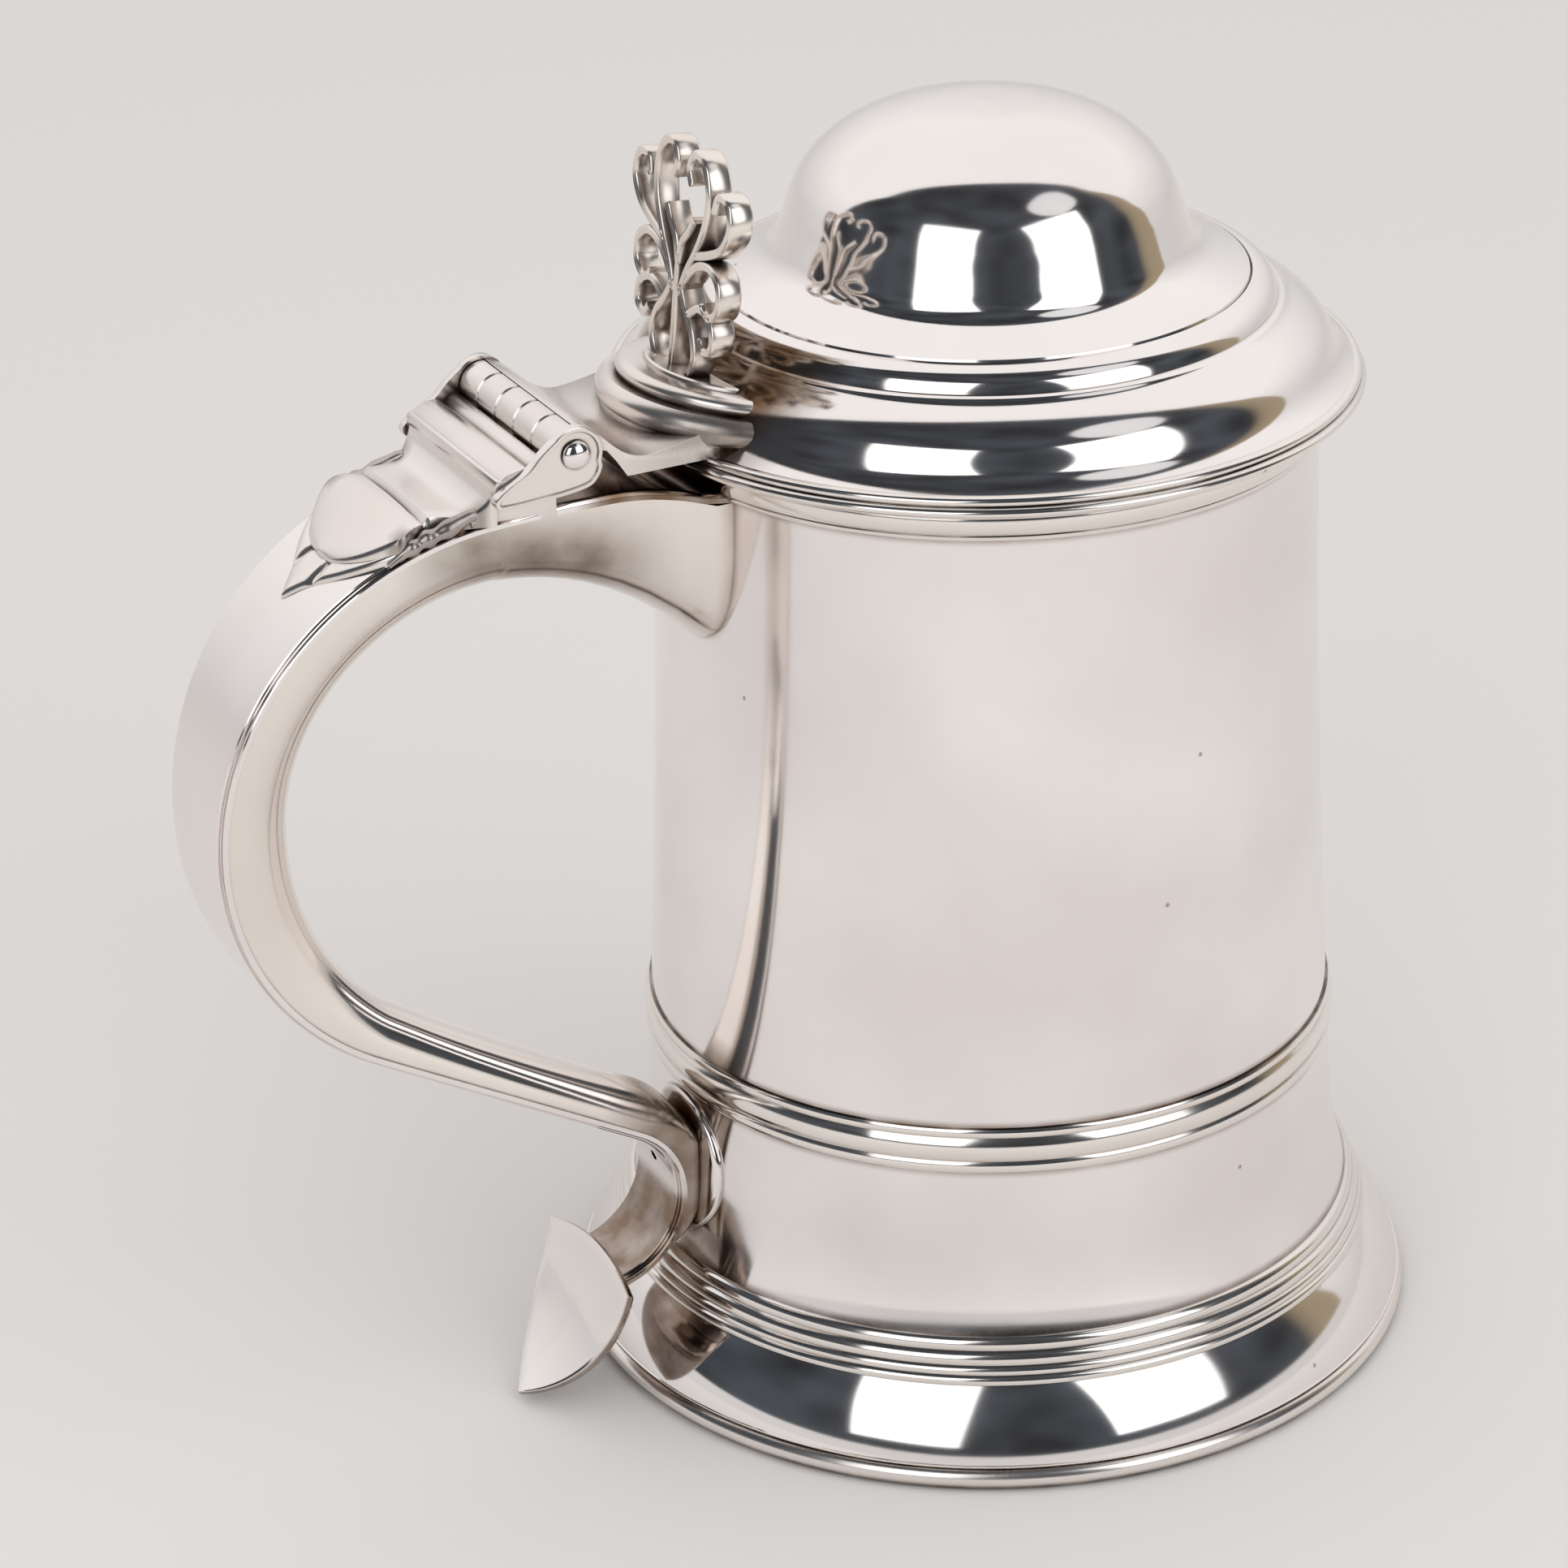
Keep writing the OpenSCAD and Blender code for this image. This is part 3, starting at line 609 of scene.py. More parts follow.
def lid_outline():
    """Outside of the lid from its edge to its middle: a step, a band, a line and the dome."""
    step_top = on_lid(0.792, 0.304)
    band_low = on_lid(0.768, 0.321)
    band_top = on_lid(0.699, 0.399)
    line = on_lid(0.697, 0.393)
    dome = [(0.692, 0.405), (0.645, 0.429), (0.599, 0.456), (0.57, 0.483), (0.551, 0.517), (0.539, 0.559),
            (0.524, 0.615), (0.506, 0.684), (0.48, 0.757), (0.438, 0.828), (0.371, 0.899), (0.279, 0.955),
            (0.153, 0.99), (0, 1)]
    step = cyma((EDGE_R, SEAT + RIM_H), 0.1 * LID_R, 33, step_top, 0.175 * LID_R, 28)
    fillet = bulge(step_top, band_low, 0.2, 6)
    band = bulge(band_low, band_top, 0.85, 16)
    return step + fillet[1:] + band[1:] + [line] + curve([on_lid(r, z) for r, z in dome], 8)


def rim_outline():
    """Outside of the lid's rim from its seat up: two reeds, the lower one the wider."""
    groove = (LID_R - 0.8, SEAT + 0.56 * RIM_H)
    lower = bulge((LID_R - 0.6, SEAT), groove, 0.7)
    return lower + bulge(groove, (EDGE_R + 0.5, SEAT + RIM_H), 0.4)[1:]


def lid_core():
    """The lid filled solid, to cut what is soldered on it."""
    return lathe("lid_core", [(0, SEAT)] + rim_outline() + lid_outline())


def lid_painted_shade(x, y, z):
    """Painted shade: brown on the lid's step, round the plinth."""
    return ramp(math.hypot(x + PLINTH[0], y), 25, 18) if z < BAND_Z else 0


def make_lid_cover():
    """Domed sheet of the lid."""
    outer = lid_outline()
    inward = 0.75 * WALL
    inner = [(max(0, r - inward), z - 0.85 * WALL) for r, z in reversed(outer)]
    cover = lathe("lid_cover", [(EDGE_R, COVER_LOW)] + outer + inner + [(EDGE_R - inward, COVER_LOW)])
    mark(cover, lid_painted_shade)
    hand_over(cover, POLISHED, "lid", "lid_cover")


def make_lid_rim():
    """Reeded rim round the lid's edge."""
    back = [(EDGE_R, SEAT + RIM_H), (EDGE_R, SEAT)]
    hand_over(lathe("lid_rim", rim_outline() + back), REEDED, "lid", "lid_rim")


def make_lid_bezel():
    """Ring under the lid that centres it in the mouth, chamfered at its lower edge."""
    inner = 45.1
    outer = 46.2
    edge = 0.3
    low = SEAT - 3.2
    ring = [(inner, low + edge), (inner + edge, low), (outer - edge, low), (outer, low + edge), (outer, SEAT),
            (EDGE_R, SEAT), (EDGE_R, COVER_LOW), (inner, COVER_LOW)]
    hand_over(lathe("lid_bezel", ring), SATIN, "lid", "lid_bezel")


# Handle

def handle_w(z):
    """Width of the handle, which grows from its run up to its top."""
    height = max(0, (z - RUN_START[1]) / (STRAP_Z - RUN_START[1]))
    return mix(RUN_W, TOP_W, height ** 1.6)


def back_line():
    """Stations along the handle's back: (r, z) and the direction into the handle."""
    flat = [mix(ROOT_R, BOW[0], i / 16) for i in range(16)]
    stations = [(r, back_z(r), 0, -1) for r in flat]
    for r, z in arc(BOW, BOW_R, 90, RUN_A, 72):
        stations.append((r, z, (BOW[0] - r) / BOW_R, (BOW[1] - z) / BOW_R))
    for i in range(1, 12):
        stations.append(between(RUN_START, RUN_END, i / 12) + RUN_INTO)
    for r, z in arc(CURL, TAIL_R, 120, 265, 48):
        stations.append((r, z, (r - CURL[0]) / TAIL_R, (z - CURL[1]) / TAIL_R))
    return stations


def strap_shade_and_patina(x, y, z):
    """Painted shade with some patina: brown on the flat top toward the drum, in the shade of the leaf, and
    painted shade on the tail below its middle.
    """
    r = -x
    if z > BOW[1]:
        return ramp(r, 70, 66)
    on_tail = z < 40 and r < 72
    return mix(0.15, 0.95, ramp(z, 33, 31)) if on_tail else 0


def make_strap():
    """Flat strap from the drum to the tail's end, with a step along both edges that runs out under the
    hinge, and a vent for the hollow handle in the tail."""
    step = 0.9
    lip = 0.6
    step_start = 74
    step_full = 82
    stepped = [(0, STRAP_T), (0, lip + 0.15), (0.15, lip), (step - 0.1, lip), (step, lip - 0.12),
               (step, 0.15), (step + 0.15, 0)]
    plain = [(0.5, STRAP_T), (0.5, 0.95), (0.52, 0.7), (0.62, 0.42), (0.8, 0.2), (1.1, 0.06), (1.5, 0)]
    rings = []
    for r, z, nr, nz in back_line():
        half = handle_w(z) / 2
        share = 1 if z < BOW[1] else ramp(r, step_start, step_full)
        edges = [between(p, q, share) for p, q in zip(plain, stepped)]
        section = [(half - edge, d) for edge, d in edges]
        section += [(-y, d) for y, d in reversed(section)]
        rings.append([(-(r + nr * d), y, z + nz * d) for y, d in section])
    rings[0] = [(drum_x(y, z) + 0.3, y, z) for x, y, z in rings[0]]
    strap = skin("handle_strap", rings)
    deep = 3
    vent = lathe("vent", [(0, -deep), (VENT_R, -deep), (VENT_R, deep), (0, deep)])
    set_down(vent, place(CURL[0] - TAIL_R, 0, CURL[1] + 3, "Y", 90))
    cut(strap, vent)
    mark(strap, strap_shade_and_patina)
    hand_over(strap, POLISHED, "tankard", "handle_strap", angle=25)


def shell_stations():
    """Stations of the rounded inner half: (r, z), the direction inward, depth and squareness, which is 2
    for an ellipse and more for a fuller section."""
    usual = 2.4
    run_depth = HANDLE_DEPTH / 2
    swell = 0.25
    stations = []
    for i in range(13):
        u = 1 - i / 12
        r = mix(BOW[0], ROOT_R, u * u)
        z = back_z(r)
        flare = ROOT_FLARE * ((BOW[0] - r) / (BOW[0] - ROOT_R)) ** 2
        stations.append((r, z, 0, -1, HANDLE_DEPTH + flare - STRAP_Z + z, usual + 0.9 * u))
    for i in range(1, 73):
        a = mix(90, RUN_A, i / 72)
        c = math.cos(math.radians(a))
        s = math.sin(math.radians(a))
        low = max(0, a / RUN_A) ** 1.6
        depth = mix(HANDLE_DEPTH, (1 + swell) * run_depth, low)
        stations.append((BOW[0] + BOW_R * c, BOW[1] + BOW_R * s, -c, -s, depth, usual))
    for i in range(1, 13):
        t = i / 12
        depth = run_depth * (1 + swell * (1 - t) ** 3)
        stations.append(between(RUN_START, RUN_END, t) + RUN_INTO + (depth, usual))
    for r, z in arc(CURL, TAIL_R, 120, 222, 34)[1:]:
        out = ((r - CURL[0]) / TAIL_R, (z - CURL[1]) / TAIL_R)
        to_plate = (drum_r(z) - 0.2 - CURL[0]) / out[0] - TAIL_R
        depth = mix(STRAP_T + 0.1, min(run_depth, to_plate), ramp(z, 24.5, 29.5))
        square = mix(usual, 5, ramp(z, RUN_END[1], RUN_END[1] - 5))
        stations.append((r, z) + out + (depth, square))
    return stations


def shell_patina_and_shade(x, y, z):
    """Brown patina under the handle's top toward the drum, and painted shade where the lower end meets its
    plate.
    """
    r = -x
    lower_end_z = 50
    if z < lower_end_z:
        return 0.9 * ramp(r, 67, 60)
    middle = 137 + 0.24 * (r - 62)
    along = ramp(r, 56, 66) * ramp(r, 98, 84)
    return 0.8 * along * ramp(abs(z - middle), 7.5, 1.5)


def make_shell():
    """Rounded inner half of the handle, closed by the strap: it grows out of the drum and ends on the
    tail."""
    rim = STRAP_T - 0.05
    steps = 40
    rings = []
    for r, z, nr, nz, depth, square in shell_stations():
        half = handle_w(z) / 2 - 0.5
        ring = []
        for k in range(steps + 1):
            a = math.pi * k / steps
            y = half * math.copysign(abs(math.cos(a)) ** (2 / square), math.cos(a))
            d = rim + (depth - rim) * math.sin(a) ** (2 / square)
            ring.append((-(r + nr * d), y, z + nz * d))
        rings.append(ring)
    first = [(drum_x(y, z) + 0.2, y, z) for x, y, z in rings[0]]
    shell = skin("handle_shell", [first] + rings)
    mark(shell, shell_patina_and_shade)
    hand_over(shell, WORN, "tankard", "handle_shell")


def make_mount_plate():
    """Round plate under the lower joint, bent to the drum, with a rounded edge."""
    radius = 10.9
    profile = [(0, 1.1), (0.6, 1), (0.92, 0.9), (0.97, 0.8), (0.99, 0.6), (1, 0.3), (1, -0.2)]
    rings = []
    for share, rise in profile:
        circle = arc((0, MOUNT_Z), radius * share, 0, 355, 71)
        rings.append([(drum_x(y, z, rise), y, z) for y, z in circle])
    hand_over(skin("lower_mount_plate", rings), POLISHED, "tankard", "lower_mount_plate")


def make_shield():
    """Hollowed shield on the tail's end: its outline shrinks to a point on the front and on the back."""
    length = 23.8
    half = 13.4
    thick = 1.6
    sheet_r = 36.3
    side_r = 27.8
    brow = bulge((0, -half), (0, half), -2.2, 16)
    right = arc((0, half - side_r), side_r, 90, 31.2, 20)[1:-1]
    left = [(u, -v) for u, v in reversed(right)]
    outline = brow + right + [(length, 0)] + left
    middle = (0.36 * length, 0)
    profile = [(0, 0), (0.3, 0), (0.6, 0), (0.85, 0), (0.95, 0.03), (0.985, 0.15), (1, 0.45), (1, 1.15),
               (0.985, 1.45), (0.95, 1.57), (0.85, thick), (0.5, thick), (0, thick)]

    def front(u, v):
        return 2 - sheet_r + math.sqrt(sheet_r ** 2 - (u - length / 2) ** 2) - 0.8 * (v / half) ** 2

    rings = []
    for share, rise in profile:
        ring = [between(middle, point, share) for point in outline]
        rings.append([(u, v, front(u, v) + rise) for u, v in ring])
    piece = skin("handle_shield", rings)
    # Painted shade and painted dark reflection: brown on the edge and back, behind the front face
    mark(piece, lambda u, v, h: 0.9 if h - front(u, v) > 0.3 else 0)
    set_down(piece, place(67.4, 0, 21.5, "Y", 124))
    hand_over(piece, POLISHED, "tankard", "handle_terminal")


# Hinge

def knuckle_y(index):
    """Middle of one knuckle of five."""
    return (index - 2) * KNUCKLE_L


def knuckle(name, index):
    """A knuckle, chamfered at its ends and bored for the pin."""
    edge = 0.25
    half = KNUCKLE_HALF
    side = [(BORE_R, -half), (KNUCKLE_R - edge, -half), (KNUCKLE_R, edge - half), (KNUCKLE_R, half - edge),
            (KNUCKLE_R - edge, half), (BORE_R, half)]
    piece = lathe(name, side)
    set_down(piece, place(HINGE[0], knuckle_y(index), HINGE[1], "X", -90))
    return piece


def web(name, index, outline):
    """What joins a knuckle to its plate or leaf."""
    y = knuckle_y(index)
    return bar(name, moved(outline, HINGE), y - KNUCKLE_HALF, y + KNUCKLE_HALF, 0.1)


def tongue_half(r):
    """Half the width of the plate's tail: it draws in to a neck, and the tongue swells and ends round."""
    wide = 14.9
    neck = 10.7
    full = 12.6
    wide_r = 82.5
    neck_r = 92
    full_r = 95.5
    if r < neck_r:
        return mix(wide, neck, math.sin(math.radians(90 * ramp(r, wide_r, neck_r))))
    swell = mix(neck, full, ramp(r, neck_r, full_r))
    return min(swell, math.sqrt(max(0, TONGUE_END ** 2 - (r - TONGUE_R) ** 2)))


def brackets():
    """A small lumpy scroll on each edge of the strap beside the plate's neck, curled at the hinge's end."""
    edge_y = 12.3
    # Points of (r, rise over the handle's back, half the scroll's thickness)
    line = curve([(98, 0, 0.4), (96, 0.4, 0.7), (94.6, 0.6, 1.2), (93.4, 0.6, 0.9), (92.2, 0.7, 1.3),
                  (90.9, 0.7, 1), (89.2, 0.8, 1.3), (87.2, 1.2, 1), (85.4, 1.4, 0.9), (84.2, 0.9, 0.8),
                  (84.6, 0.3, 0.7), (86, 0.4, 0.7)], 6)
    middle = [(r, back_z(r) + rise) for r, rise, size in line]
    rings = []
    for i, (r, z) in enumerate(middle):
        out = across(middle, i)
        section = arc((0, -edge_y), line[i][2], 0, 345, 23)
        rings.append([(-(r + out[0] * u), y, z + out[1] * u) for u, y in section])
    near = skin("bracket", rings)
    return [near, mirrored(near)]


def hinge_block():
    """The plate's grooved block at the hinge, and the narrower seat under it."""
    clear = arc((0, 0), 3.6, -46, -16, 6)
    reed = bulge((5.9, -1.9), (3.7, -0.7), 0.35, 8)[::-1]
    band = [(6.2, -1.6), (6.5, -1.2), (7, -1), (8.4, -1.1), (9.6, -1.5), (10.2, -2)]
    shoulder = [(10.5, -2.3), (10.8, -2), (11.2, -2.2), (11.5, -2.8)]
    outline = clear + reed + band + shoulder + [(11.5, -4.2), (2.5, -5)]
    under = [(1.5, -4.8), (11.5, -4), (11.8, -10), (1.5, -10)]
    half = HINGE_W / 2
    seat_half = 12.6
    block = bar("hinge_block", moved(outline, HINGE), -half, half, 0.12)
    return [block, bar("block_seat", moved(under, HINGE), -seat_half, seat_half, 0.12)]


def hinge_tail():
    """The plate's tail down the handle's back: a hollow, a groove and a domed tongue."""
    groove = (20.3, 2.2)
    hollow = curve([(11.2, 5.8), (11.6, 4.6), (12.2, 3.2), (14, 1.8), (16.4, 1.9), (19.6, 2.9)], 6)
    dome = curve([(20.9, 2.5), (22.6, 3), (25, 2.9), (28.4, 2.1), (31.5, 1.2)], 8)
    rings = []
    for ahead, rise in hollow + [groove] + dome:
        crown = 0.6 if ahead > groove[0] else 0.05
        r = HINGE[0] + ahead
        z = back_z(r)
        half = max(0.05, tongue_half(r))
        edge = min(0.7, 0.4 * half)
        flat = half - edge
        row = [(half, -0.3), (half, rise - 0.8 * edge), (half - 0.3 * edge, rise - 0.25 * edge), (flat, rise),
               (0.8 * flat, rise + 0.36 * crown), (0.4 * flat, rise + 0.84 * crown), (0, rise + crown)]
        row += [(-y, h) for y, h in reversed(row[:-1])]
        rings.append([(-r, y, z + h) for y, h in row])
    return skin("hinge_tail", rings)


def plate_painted_shade(x, y, z):
    """Painted shade: brown round the brackets."""
    return 0.6 * ramp(abs(y), 11.2, 12) * ramp(-x, 83.5, 84.5)


def make_hinge_plate():
    """Stepped plate on the handle's top, with three of the five knuckles and its two brackets."""
    block = hinge_block()
    parts = [hinge_tail()] + block + brackets()
    outline = [(-0.5, -3.2), (3.1, -1.1), (3.8, -1.2), (5, -1.9), (5, -3.2)]
    for index in (0, 2, 4):
        parts.append(knuckle("plate_knuckle", index))
        parts.append(web("plate_web", index, outline))
    plate = join("hinge_plate", parts)
    mark(plate, plate_painted_shade)
    hand_over(plate, CAST, "tankard", "hinge_plate")


def make_cheeks():
    """Teardrop cheeks at the hinge's ends, each sunk inside a border."""
    head = arc((0, 0), 3.9, 40, 200, 32)
    lower = curve([(-3.8, -2.3), (-3.2, -3.7), (-1.8, -4.9), (1.6, -5.5), (5, -5.7), (8.5, -5.9),
                   (10.9, -5.9)], 5)
    tip = arc((11, -4.8), 1.1, -80, 60, 10)
    upper = curve([(11.2, -3.5), (9.5, -2.4), (7, -1), (5.2, 0.8), (3.6, 2.1)], 5)
    outline = moved(head + lower + tip + upper, HINGE)
    inner = HINGE_W / 2
    outer = inner + CHEEK_T
    steps = [(0, inner), (0, outer - 0.2), (0.06, outer - 0.06), (0.2, outer), (0.55, outer),
             (0.75, outer - 0.3)]
    near = skin("near_cheek", [[(-r, -y, z) for r, z in inset(outline, by)] for by, y in steps])
    hand_over(join("hinge_cheeks", [near, mirrored(near)]), CAST, "tankard", "hinge_cheeks")


def make_pin_heads():
    """Domed heads of the hinge pin."""
    head_r = 2.1
    rise = 1.2
    dome = [(r * head_r, z * rise) for r, z in arc((0, 0), 1, 0, 90, 15)]
    near = lathe("near_head", [(0, 0)] + dome)
    set_down(near, place(HINGE[0], -HINGE_W / 2 - CHEEK_T, HINGE[1], "X", 90))
    hand_over(join("pin_heads", [near, mirrored(near)]), POLISHED, "tankard", "pin_heads")


def make_drop():
    """Moulded drop round the tongue's end: a smooth leaf with a point, and a crease on each side of its
    middle."""
    inner = TONGUE_END - 0.3
    crease_at = 11
    crease_w = 2.2
    edge = curve([(0, 21), (5, 19.4), (10, 18.3), (16, 17.5), (26, 16.7), (38, 16), (54, 15.3)], 6)
    edge = [(-a, r) for a, r in reversed(edge[1:])] + edge
    profile = [(0, -0.3), (0, 0.8), (0.15, 1), (0.4, 1.1), (0.65, 1.05), (0.85, 0.9), (0.96, 0.7), (1, 0.45),
               (1, -0.3)]
    rings = []
    for angle, outer in edge:
        a = math.radians(angle)
        height = 1 - 0.6 * math.exp(-((abs(angle) - crease_at) / crease_w) ** 2)
        ring = []
        for share, rise in profile:
            out = mix(inner, outer, share)
            r = TONGUE_R + out * math.cos(a)
            ring.append((-r, out * math.sin(a), back_z(r) + rise * height))
        rings.append(ring)
    hand_over(skin("handle_drop", rings), CAST, "tankard", "handle_drop")


def leaf_painted_shade(x, y, z):
    """Painted shade: brown on the leaf's edges toward the lid."""
    return 0.5 * ramp(abs(y), 11, 14) * ramp(-x, 62, 54)


def make_leaf():
    """Leaf from the lid's step to the hinge, risen behind the knuckles, with two of the five."""
    under = [(-27.3, -5.3), (-8.2, -5.3), (-6.6, -2.8), (-5.2, -1)] + arc((0, 0), 3.38, 188, 101, 18)
    over = curve([(-0.75, 3.4), (-2.2, 3), (-4.2, 1.5), (-6.6, -0.8), (-8.9, -2.3), (-11.5, -2.8),
                  (-16.4, -2.1), (-21.4, -1), (-27.3, -0.3)], 5)
    half = HINGE_W / 2 - 0.12
    leaf = bar("leaf", moved(under + over, HINGE), -half, half, 0.06)
    cut(leaf, lid_core())
    parts = [leaf]
    outline = [(-2.9, -0.7), (-3.9, -0.6), (-3.9, 0.6), (-2.9, 2.4), (-0.9, 3.35), (-0.6, 3.1)]
    for index in (1, 3):
        parts.append(knuckle("leaf_knuckle", index))
        parts.append(web("leaf_web", index, outline))
    leaf = join("lid_leaf", parts)
    mark(leaf, leaf_painted_shade)
    hand_over(leaf, CAST, "lid", "lid_leaf")


# Plinth and thumbpiece

def plinth_painted_shade(x, y, z):
    """Painted shade: brown low on the plinth's sides."""
    return 0.8 * ramp(abs(y), 10, 14) * ramp(z, 157, 155)


def make_plinth():
    """Two round tiers that lean toward the lid, trimmed to the leaf and the lid's step."""
    lean = 10.5
    leaf_z = 152.4
    lower = [(0, -4), (18.8, -4)] + bulge((18.8, 0), (18.6, 3.9), 1)
    upper = bulge((16.8, 3.9), (16.2, 6.3), 0.8) + [(13.4, 6.3), (13.3, 6.7), (13, 6.9), (0, 6.9)]
    piece = lathe("thumb_plinth", lower + upper)
    set_down(piece, place(PLINTH[0], 0, PLINTH[1], "Y", lean))
    bpy.ops.object.mode_set(mode="EDIT")
    bpy.ops.mesh.select_all(action="SELECT")
    bpy.ops.mesh.bisect(plane_co=(0, 0, leaf_z * MM), plane_no=(0, 0, 1), use_fill=True, clear_inner=True)
    bpy.ops.object.mode_set(mode="OBJECT")
    cut(piece, lid_core())
    mark(piece, plinth_painted_shade)
    hand_over(piece, CAST, "lid", "thumb_plinth")


# Scrolls of one side of the thumbpiece, in shares of its half width and its height
SCROLLS = [
    [(0.14, -0.04), (0.32, 0.02), (0.40, 0.10), (0.34, 0.20), (0.18, 0.29), (0.06, 0.38)],
    [(0.06, 0.33), (0.16, 0.44), (0.32, 0.56), (0.45, 0.69), (0.48, 0.83), (0.37, 0.94), (0.20, 0.96),
     (0.11, 0.89), (0.17, 0.82)],
    [(0.26, 0.53), (0.52, 0.57), (0.76, 0.63), (0.89, 0.73), (0.83, 0.83), (0.66, 0.84), (0.60, 0.76)],
    [(0.13, 0.40), (0.33, 0.49), (0.57, 0.52), (0.75, 0.47), (0.77, 0.37), (0.62, 0.31), (0.48, 0.35)],
    [(0.24, 0.27), (0.40, 0.32), (0.56, 0.32), (0.69, 0.27), (0.70, 0.19), (0.57, 0.155), (0.48, 0.20)],
    [(0, 0.46), (0.06, 0.56), (0.18, 0.63), (0.26, 0.69)],
]


def ribbon(name, line):
    """A scroll strip along a line of (y, z), with a faint flute on its front and back, and narrowed at its
    ends."""
    w = STRIP_W / 2
    end_share = 0.55
    side = [(w, 0.4), (0.8 * w, 0.1), (0.5 * w, 0), (0.2 * w, 0.07)]
    flute = [(-u, d) for u, d in side] + [(0, 0.13)] + side[::-1]
    section = flute + [(-u, THUMB_T - d) for u, d in flute]
    rings = []
    for i, (y, z) in enumerate(line):
        out = across(line, i)
        share = end_share if i in (0, len(line) - 1) else 1
        rings.append([(-d, y + out[0] * u * share, z + out[1] * u * share) for u, d in section])
    return skin(name, rings)


def make_thumbpiece():
    """Pierced thumbpiece: mirrored scroll strips about a stem, on a short base."""
    parts = []
    for scroll in SCROLLS:
        for side in (-1, 1):
            points = [(side * y * THUMB_W, z * THUMB_H) for y, z in scroll]
            parts.append(ribbon("scroll", curve(points, 8)))
    parts.append(ribbon("stem", [(0, z) for z in (-1.6, 4, 8, 12, 16.2)]))
    parts.append(ribbon("base", [(y, -0.6) for y in (-6.5, -6, 6, 6.5)]))
    piece = join("thumbpiece", parts)
    set_down(piece, place(THUMB[0], 0, THUMB[1], "Y", 6))
    hand_over(piece, PIERCED, "lid", "thumbpiece", angle=40)


# Stage

def make_camera():
    """Long lens from the handle's near side, above the lid."""
    data = bpy.data.cameras.new("camera")
    data.sensor_width = 36
    data.lens = 117.03
    data.clip_start = 0.01
    camera = bpy.data.objects.new("camera", data)
    bpy.context.scene.collection.objects.link(camera)
    heading = -26.48
    down = 25.4877
    roll = -1.4311
    turn = rotated("Z", heading) @ rotated("X", 90 - down) @ rotated("Z", roll)
    camera.matrix_world = Matrix.Translation(CAMERA_AT) @ turn
    bpy.context.scene.camera = camera


def toward(azimuth, elevation):
    """Direction from the tankard, azimuth counted from the camera to the picture's right."""
    a = math.radians(CAMERA_AZ + azimuth)
    e = math.radians(elevation)
    return Vector((math.cos(a) * math.cos(e), math.sin(a) * math.cos(e), math.sin(e)))


def make_floor():
    """White card, matt and nearly without gloss."""
    pick()
    bpy.ops.mesh.primitive_plane_add(size=8)
    floor = bpy.context.object
    floor.name = "floor"
    paper = bpy.data.materials.new("matt_white_card")
    paper.use_nodes = True
    shader = paper.node_tree.nodes["Principled BSDF"]
    shader.inputs["Base Color"].default_value = linear("#D9D7D5")
    shader.inputs["Roughness"].default_value = 0.9
    shader.inputs["Specular IOR Level"].default_value = 0.1
    floor.data.materials.append(paper)


def unlit_studio():
    """The dark side of the studio: bluish black and a little uneven, with a tan wall at one end."""
    material = blank("unlit_studio")
    tree = material.node_tree
    where = add(tree, "TexCoord").outputs["Object"]
    haze = add(tree, "TexNoise", {"Vector": where, "Scale": per_metre(600), "Detail": 1})
    lift = add(tree, "MapRange", {"Value": haze.outputs[0], "From Min": 0.35, "From Max": 0.65})
    dark = add(tree, "Mix", {"Factor": lift.outputs[0], "A": linear("#303134"), "B": linear("#4A4F56")},
               data_type="RGBA")
    wall = add(tree, "Attribute", attribute_name="wall")
    colour = add(tree, "Mix", {"Factor": wall.outputs["Fac"], "A": dark.outputs["Result"],
                               "B": linear("#A3947C")}, data_type="RGBA")
    shader = add(tree, "Emission", {"Color": colour.outputs["Result"]})
    add(tree, "OutputMaterial", {"Surface": shader.outputs[0]})
    return material


def make_dark_side():
    """The unlit side of the studio behind the camera, which only reflections show: a dome cut off by a
    plane."""
    dome_r = 1.5
    half_turn = 107
    shift = 4
    low = 1.2
    tilt = math.radians(-19.8)
    rim = -0.306
    columns = []
    for k in range(49):
        azimuth = mix(-half_turn, half_turn, k / 48)
        a = math.cos(math.radians(azimuth)) * math.cos(tilt)
        top = math.degrees(math.acos(rim / math.hypot(a, math.sin(tilt))) + math.atan2(math.sin(tilt), a))
        ways = [toward(azimuth + shift, mix(low, top, i / 24)) for i in range(25)]
        columns.append([(MIDDLE + way * dome_r) / MM for way in ways])
    dark = skin("dark_side", columns, closed=False)
    end = toward(half_turn + shift, 0)
    mark(dark, lambda x, y, z: ramp(Vector((x, y, 0)).normalized().dot(end), 0.951, 0.981), "wall")
    dark.data.materials.append(unlit_studio())
    dark.visible_camera = False
    dark.visible_diffuse = False
    dark.visible_shadow = False


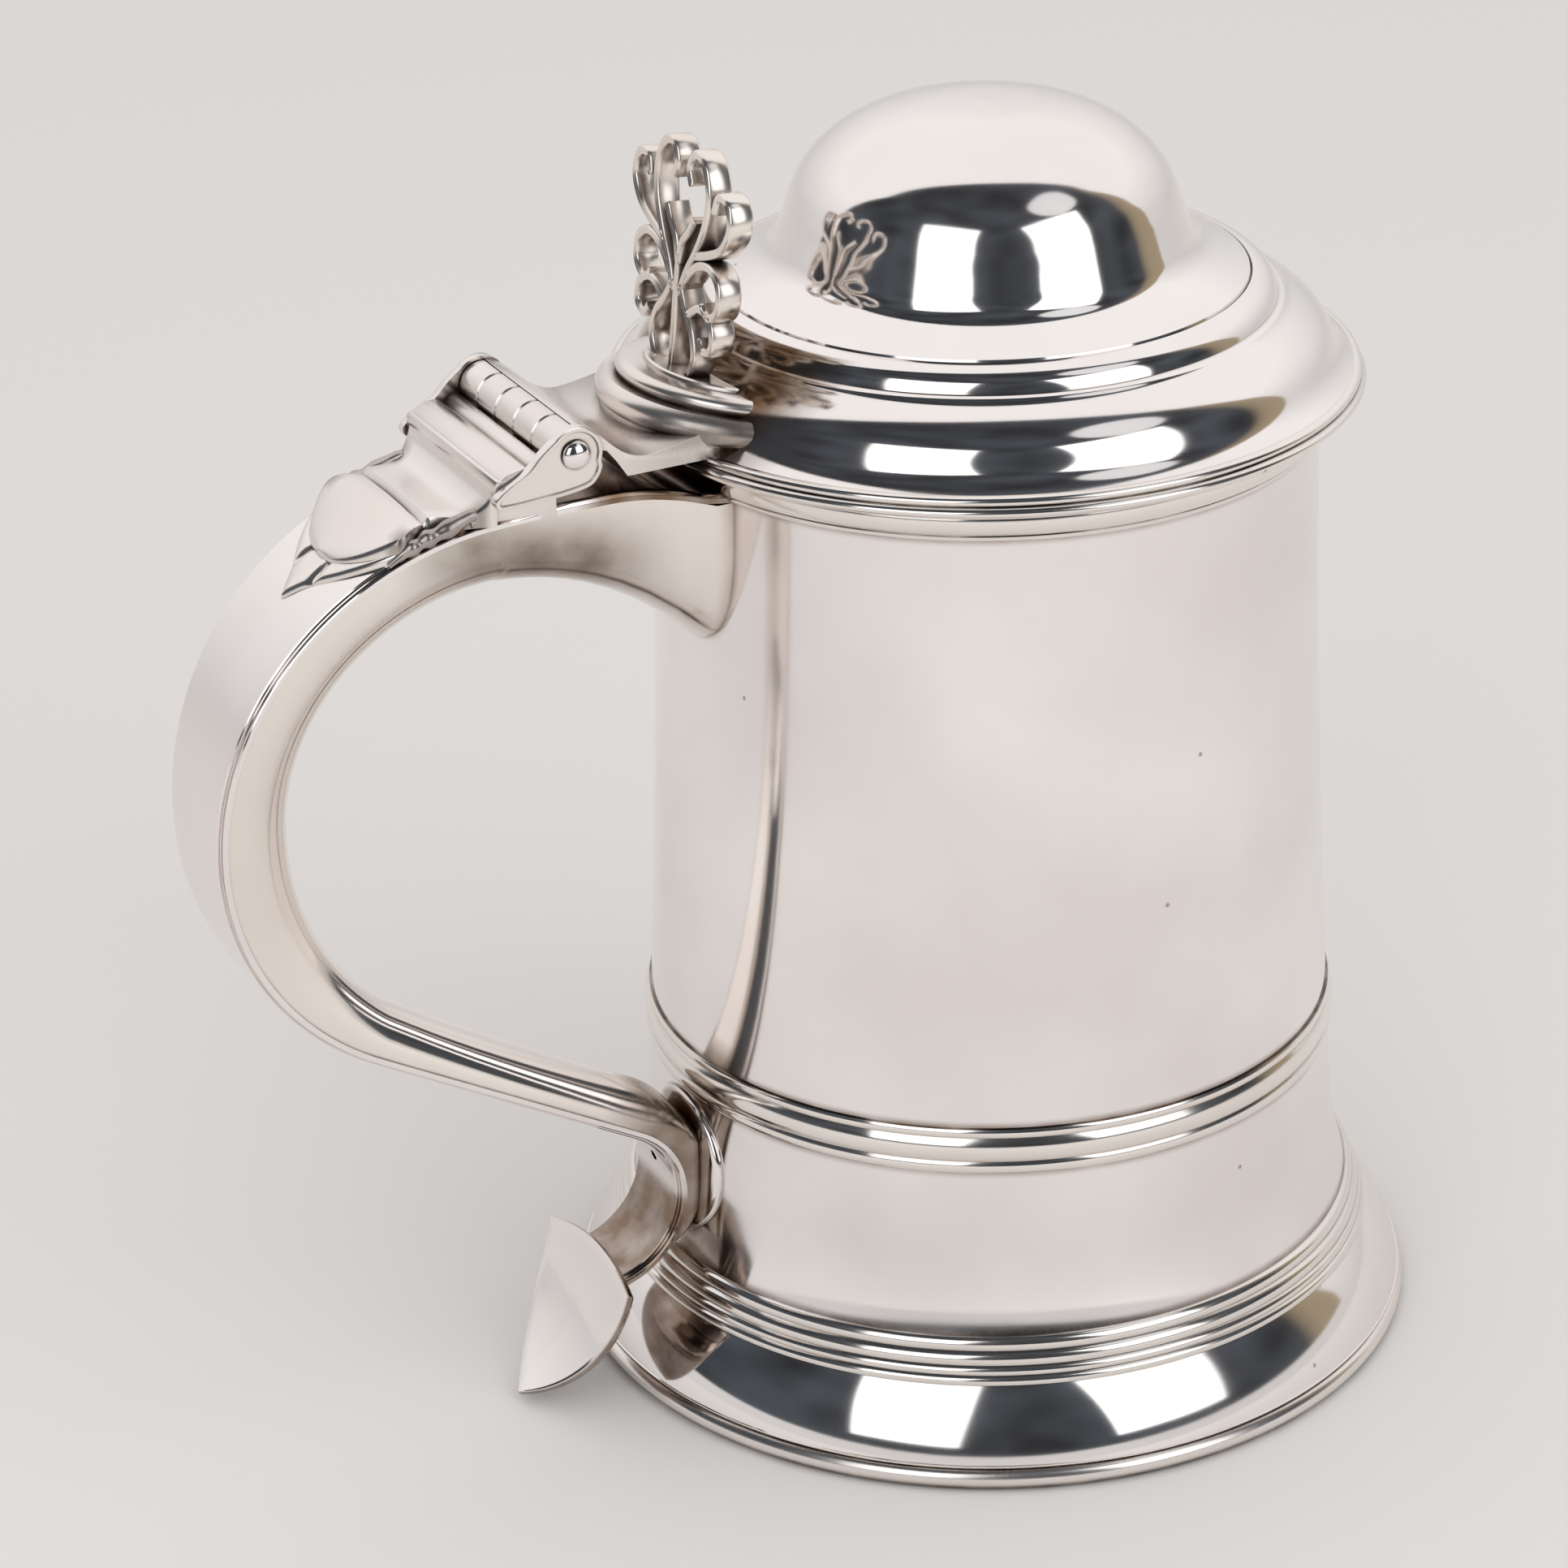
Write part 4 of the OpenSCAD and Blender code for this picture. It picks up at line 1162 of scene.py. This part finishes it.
def softbox(name, azimuth, elevation, width, height, radiance, shape="RECTANGLE"):
    """A square or round studio lamp 1.3 m from the tankard; width and height are angles."""
    distance = 1.3
    data = bpy.data.lights.new(name, "AREA")
    data.shape = shape
    data.size = 2 * distance * math.tan(math.radians(width / 2))
    data.size_y = 2 * distance * math.tan(math.radians(height / 2))
    area = data.size * data.size_y
    data.energy = math.pi * area * radiance
    lamp = bpy.data.objects.new(name, data)
    bpy.context.scene.collection.objects.link(lamp)
    way = toward(azimuth, elevation)
    turn = way.to_track_quat("Z", "Y").to_matrix().to_4x4()
    lamp.matrix_world = Matrix.Translation(MIDDLE + way * distance) @ turn


def make_lamps():
    """Two softboxes and a round lamp, all of which the silver mirrors."""
    softbox("left_softbox", azimuth=-22, elevation=26.5, width=30, height=41, radiance=1.5)
    softbox("right_softbox", azimuth=48.5, elevation=26.5, width=33, height=41, radiance=1.5)
    softbox("round_lamp", azimuth=63, elevation=57, width=24, height=20, radiance=0.6, shape="ELLIPSE")


def make_world():
    """White all round, a little less so near the floor, so that floor and walls meet without a line in the
    silver."""
    world = bpy.data.worlds.new("white_studio")
    bpy.context.scene.world = world
    world.use_nodes = True
    tree = world.node_tree
    tree.nodes.clear()
    way = add(tree, "TexCoord").outputs["Generated"]
    height = add(tree, "SeparateXYZ", {"Vector": way}).outputs["Z"]
    strength = add(tree, "MapRange", {"Value": height, "From Min": 0, "From Max": 0.5,
                                      "To Min": 0.66, "To Max": 0.97})
    sky = add(tree, "Background", {"Color": linear("#FFFDFC"), "Strength": strength.outputs[0]})
    add(tree, "OutputWorld", {"Surface": sky.outputs[0]})


bpy.context.scene.view_settings.view_transform = "Standard"
make_camera()
make_floor()
make_dark_side()
make_lamps()
make_world()

make_drum()
make_drum_bottom()
make_lip()
make_girdle()
make_foot_collar()
make_foot_skirt()
make_foot_wire()
make_lid_cover()
make_lid_rim()
make_lid_bezel()
make_strap()
make_shell()
make_mount_plate()
make_shield()
make_hinge_plate()
make_cheeks()
make_pin_heads()
make_drop()
make_leaf()
make_plinth()
make_thumbpiece()

# The pin keeps its solid
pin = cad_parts["hinge_pin"]
pin.data.materials.clear()
pin.data.materials.append(CAST)
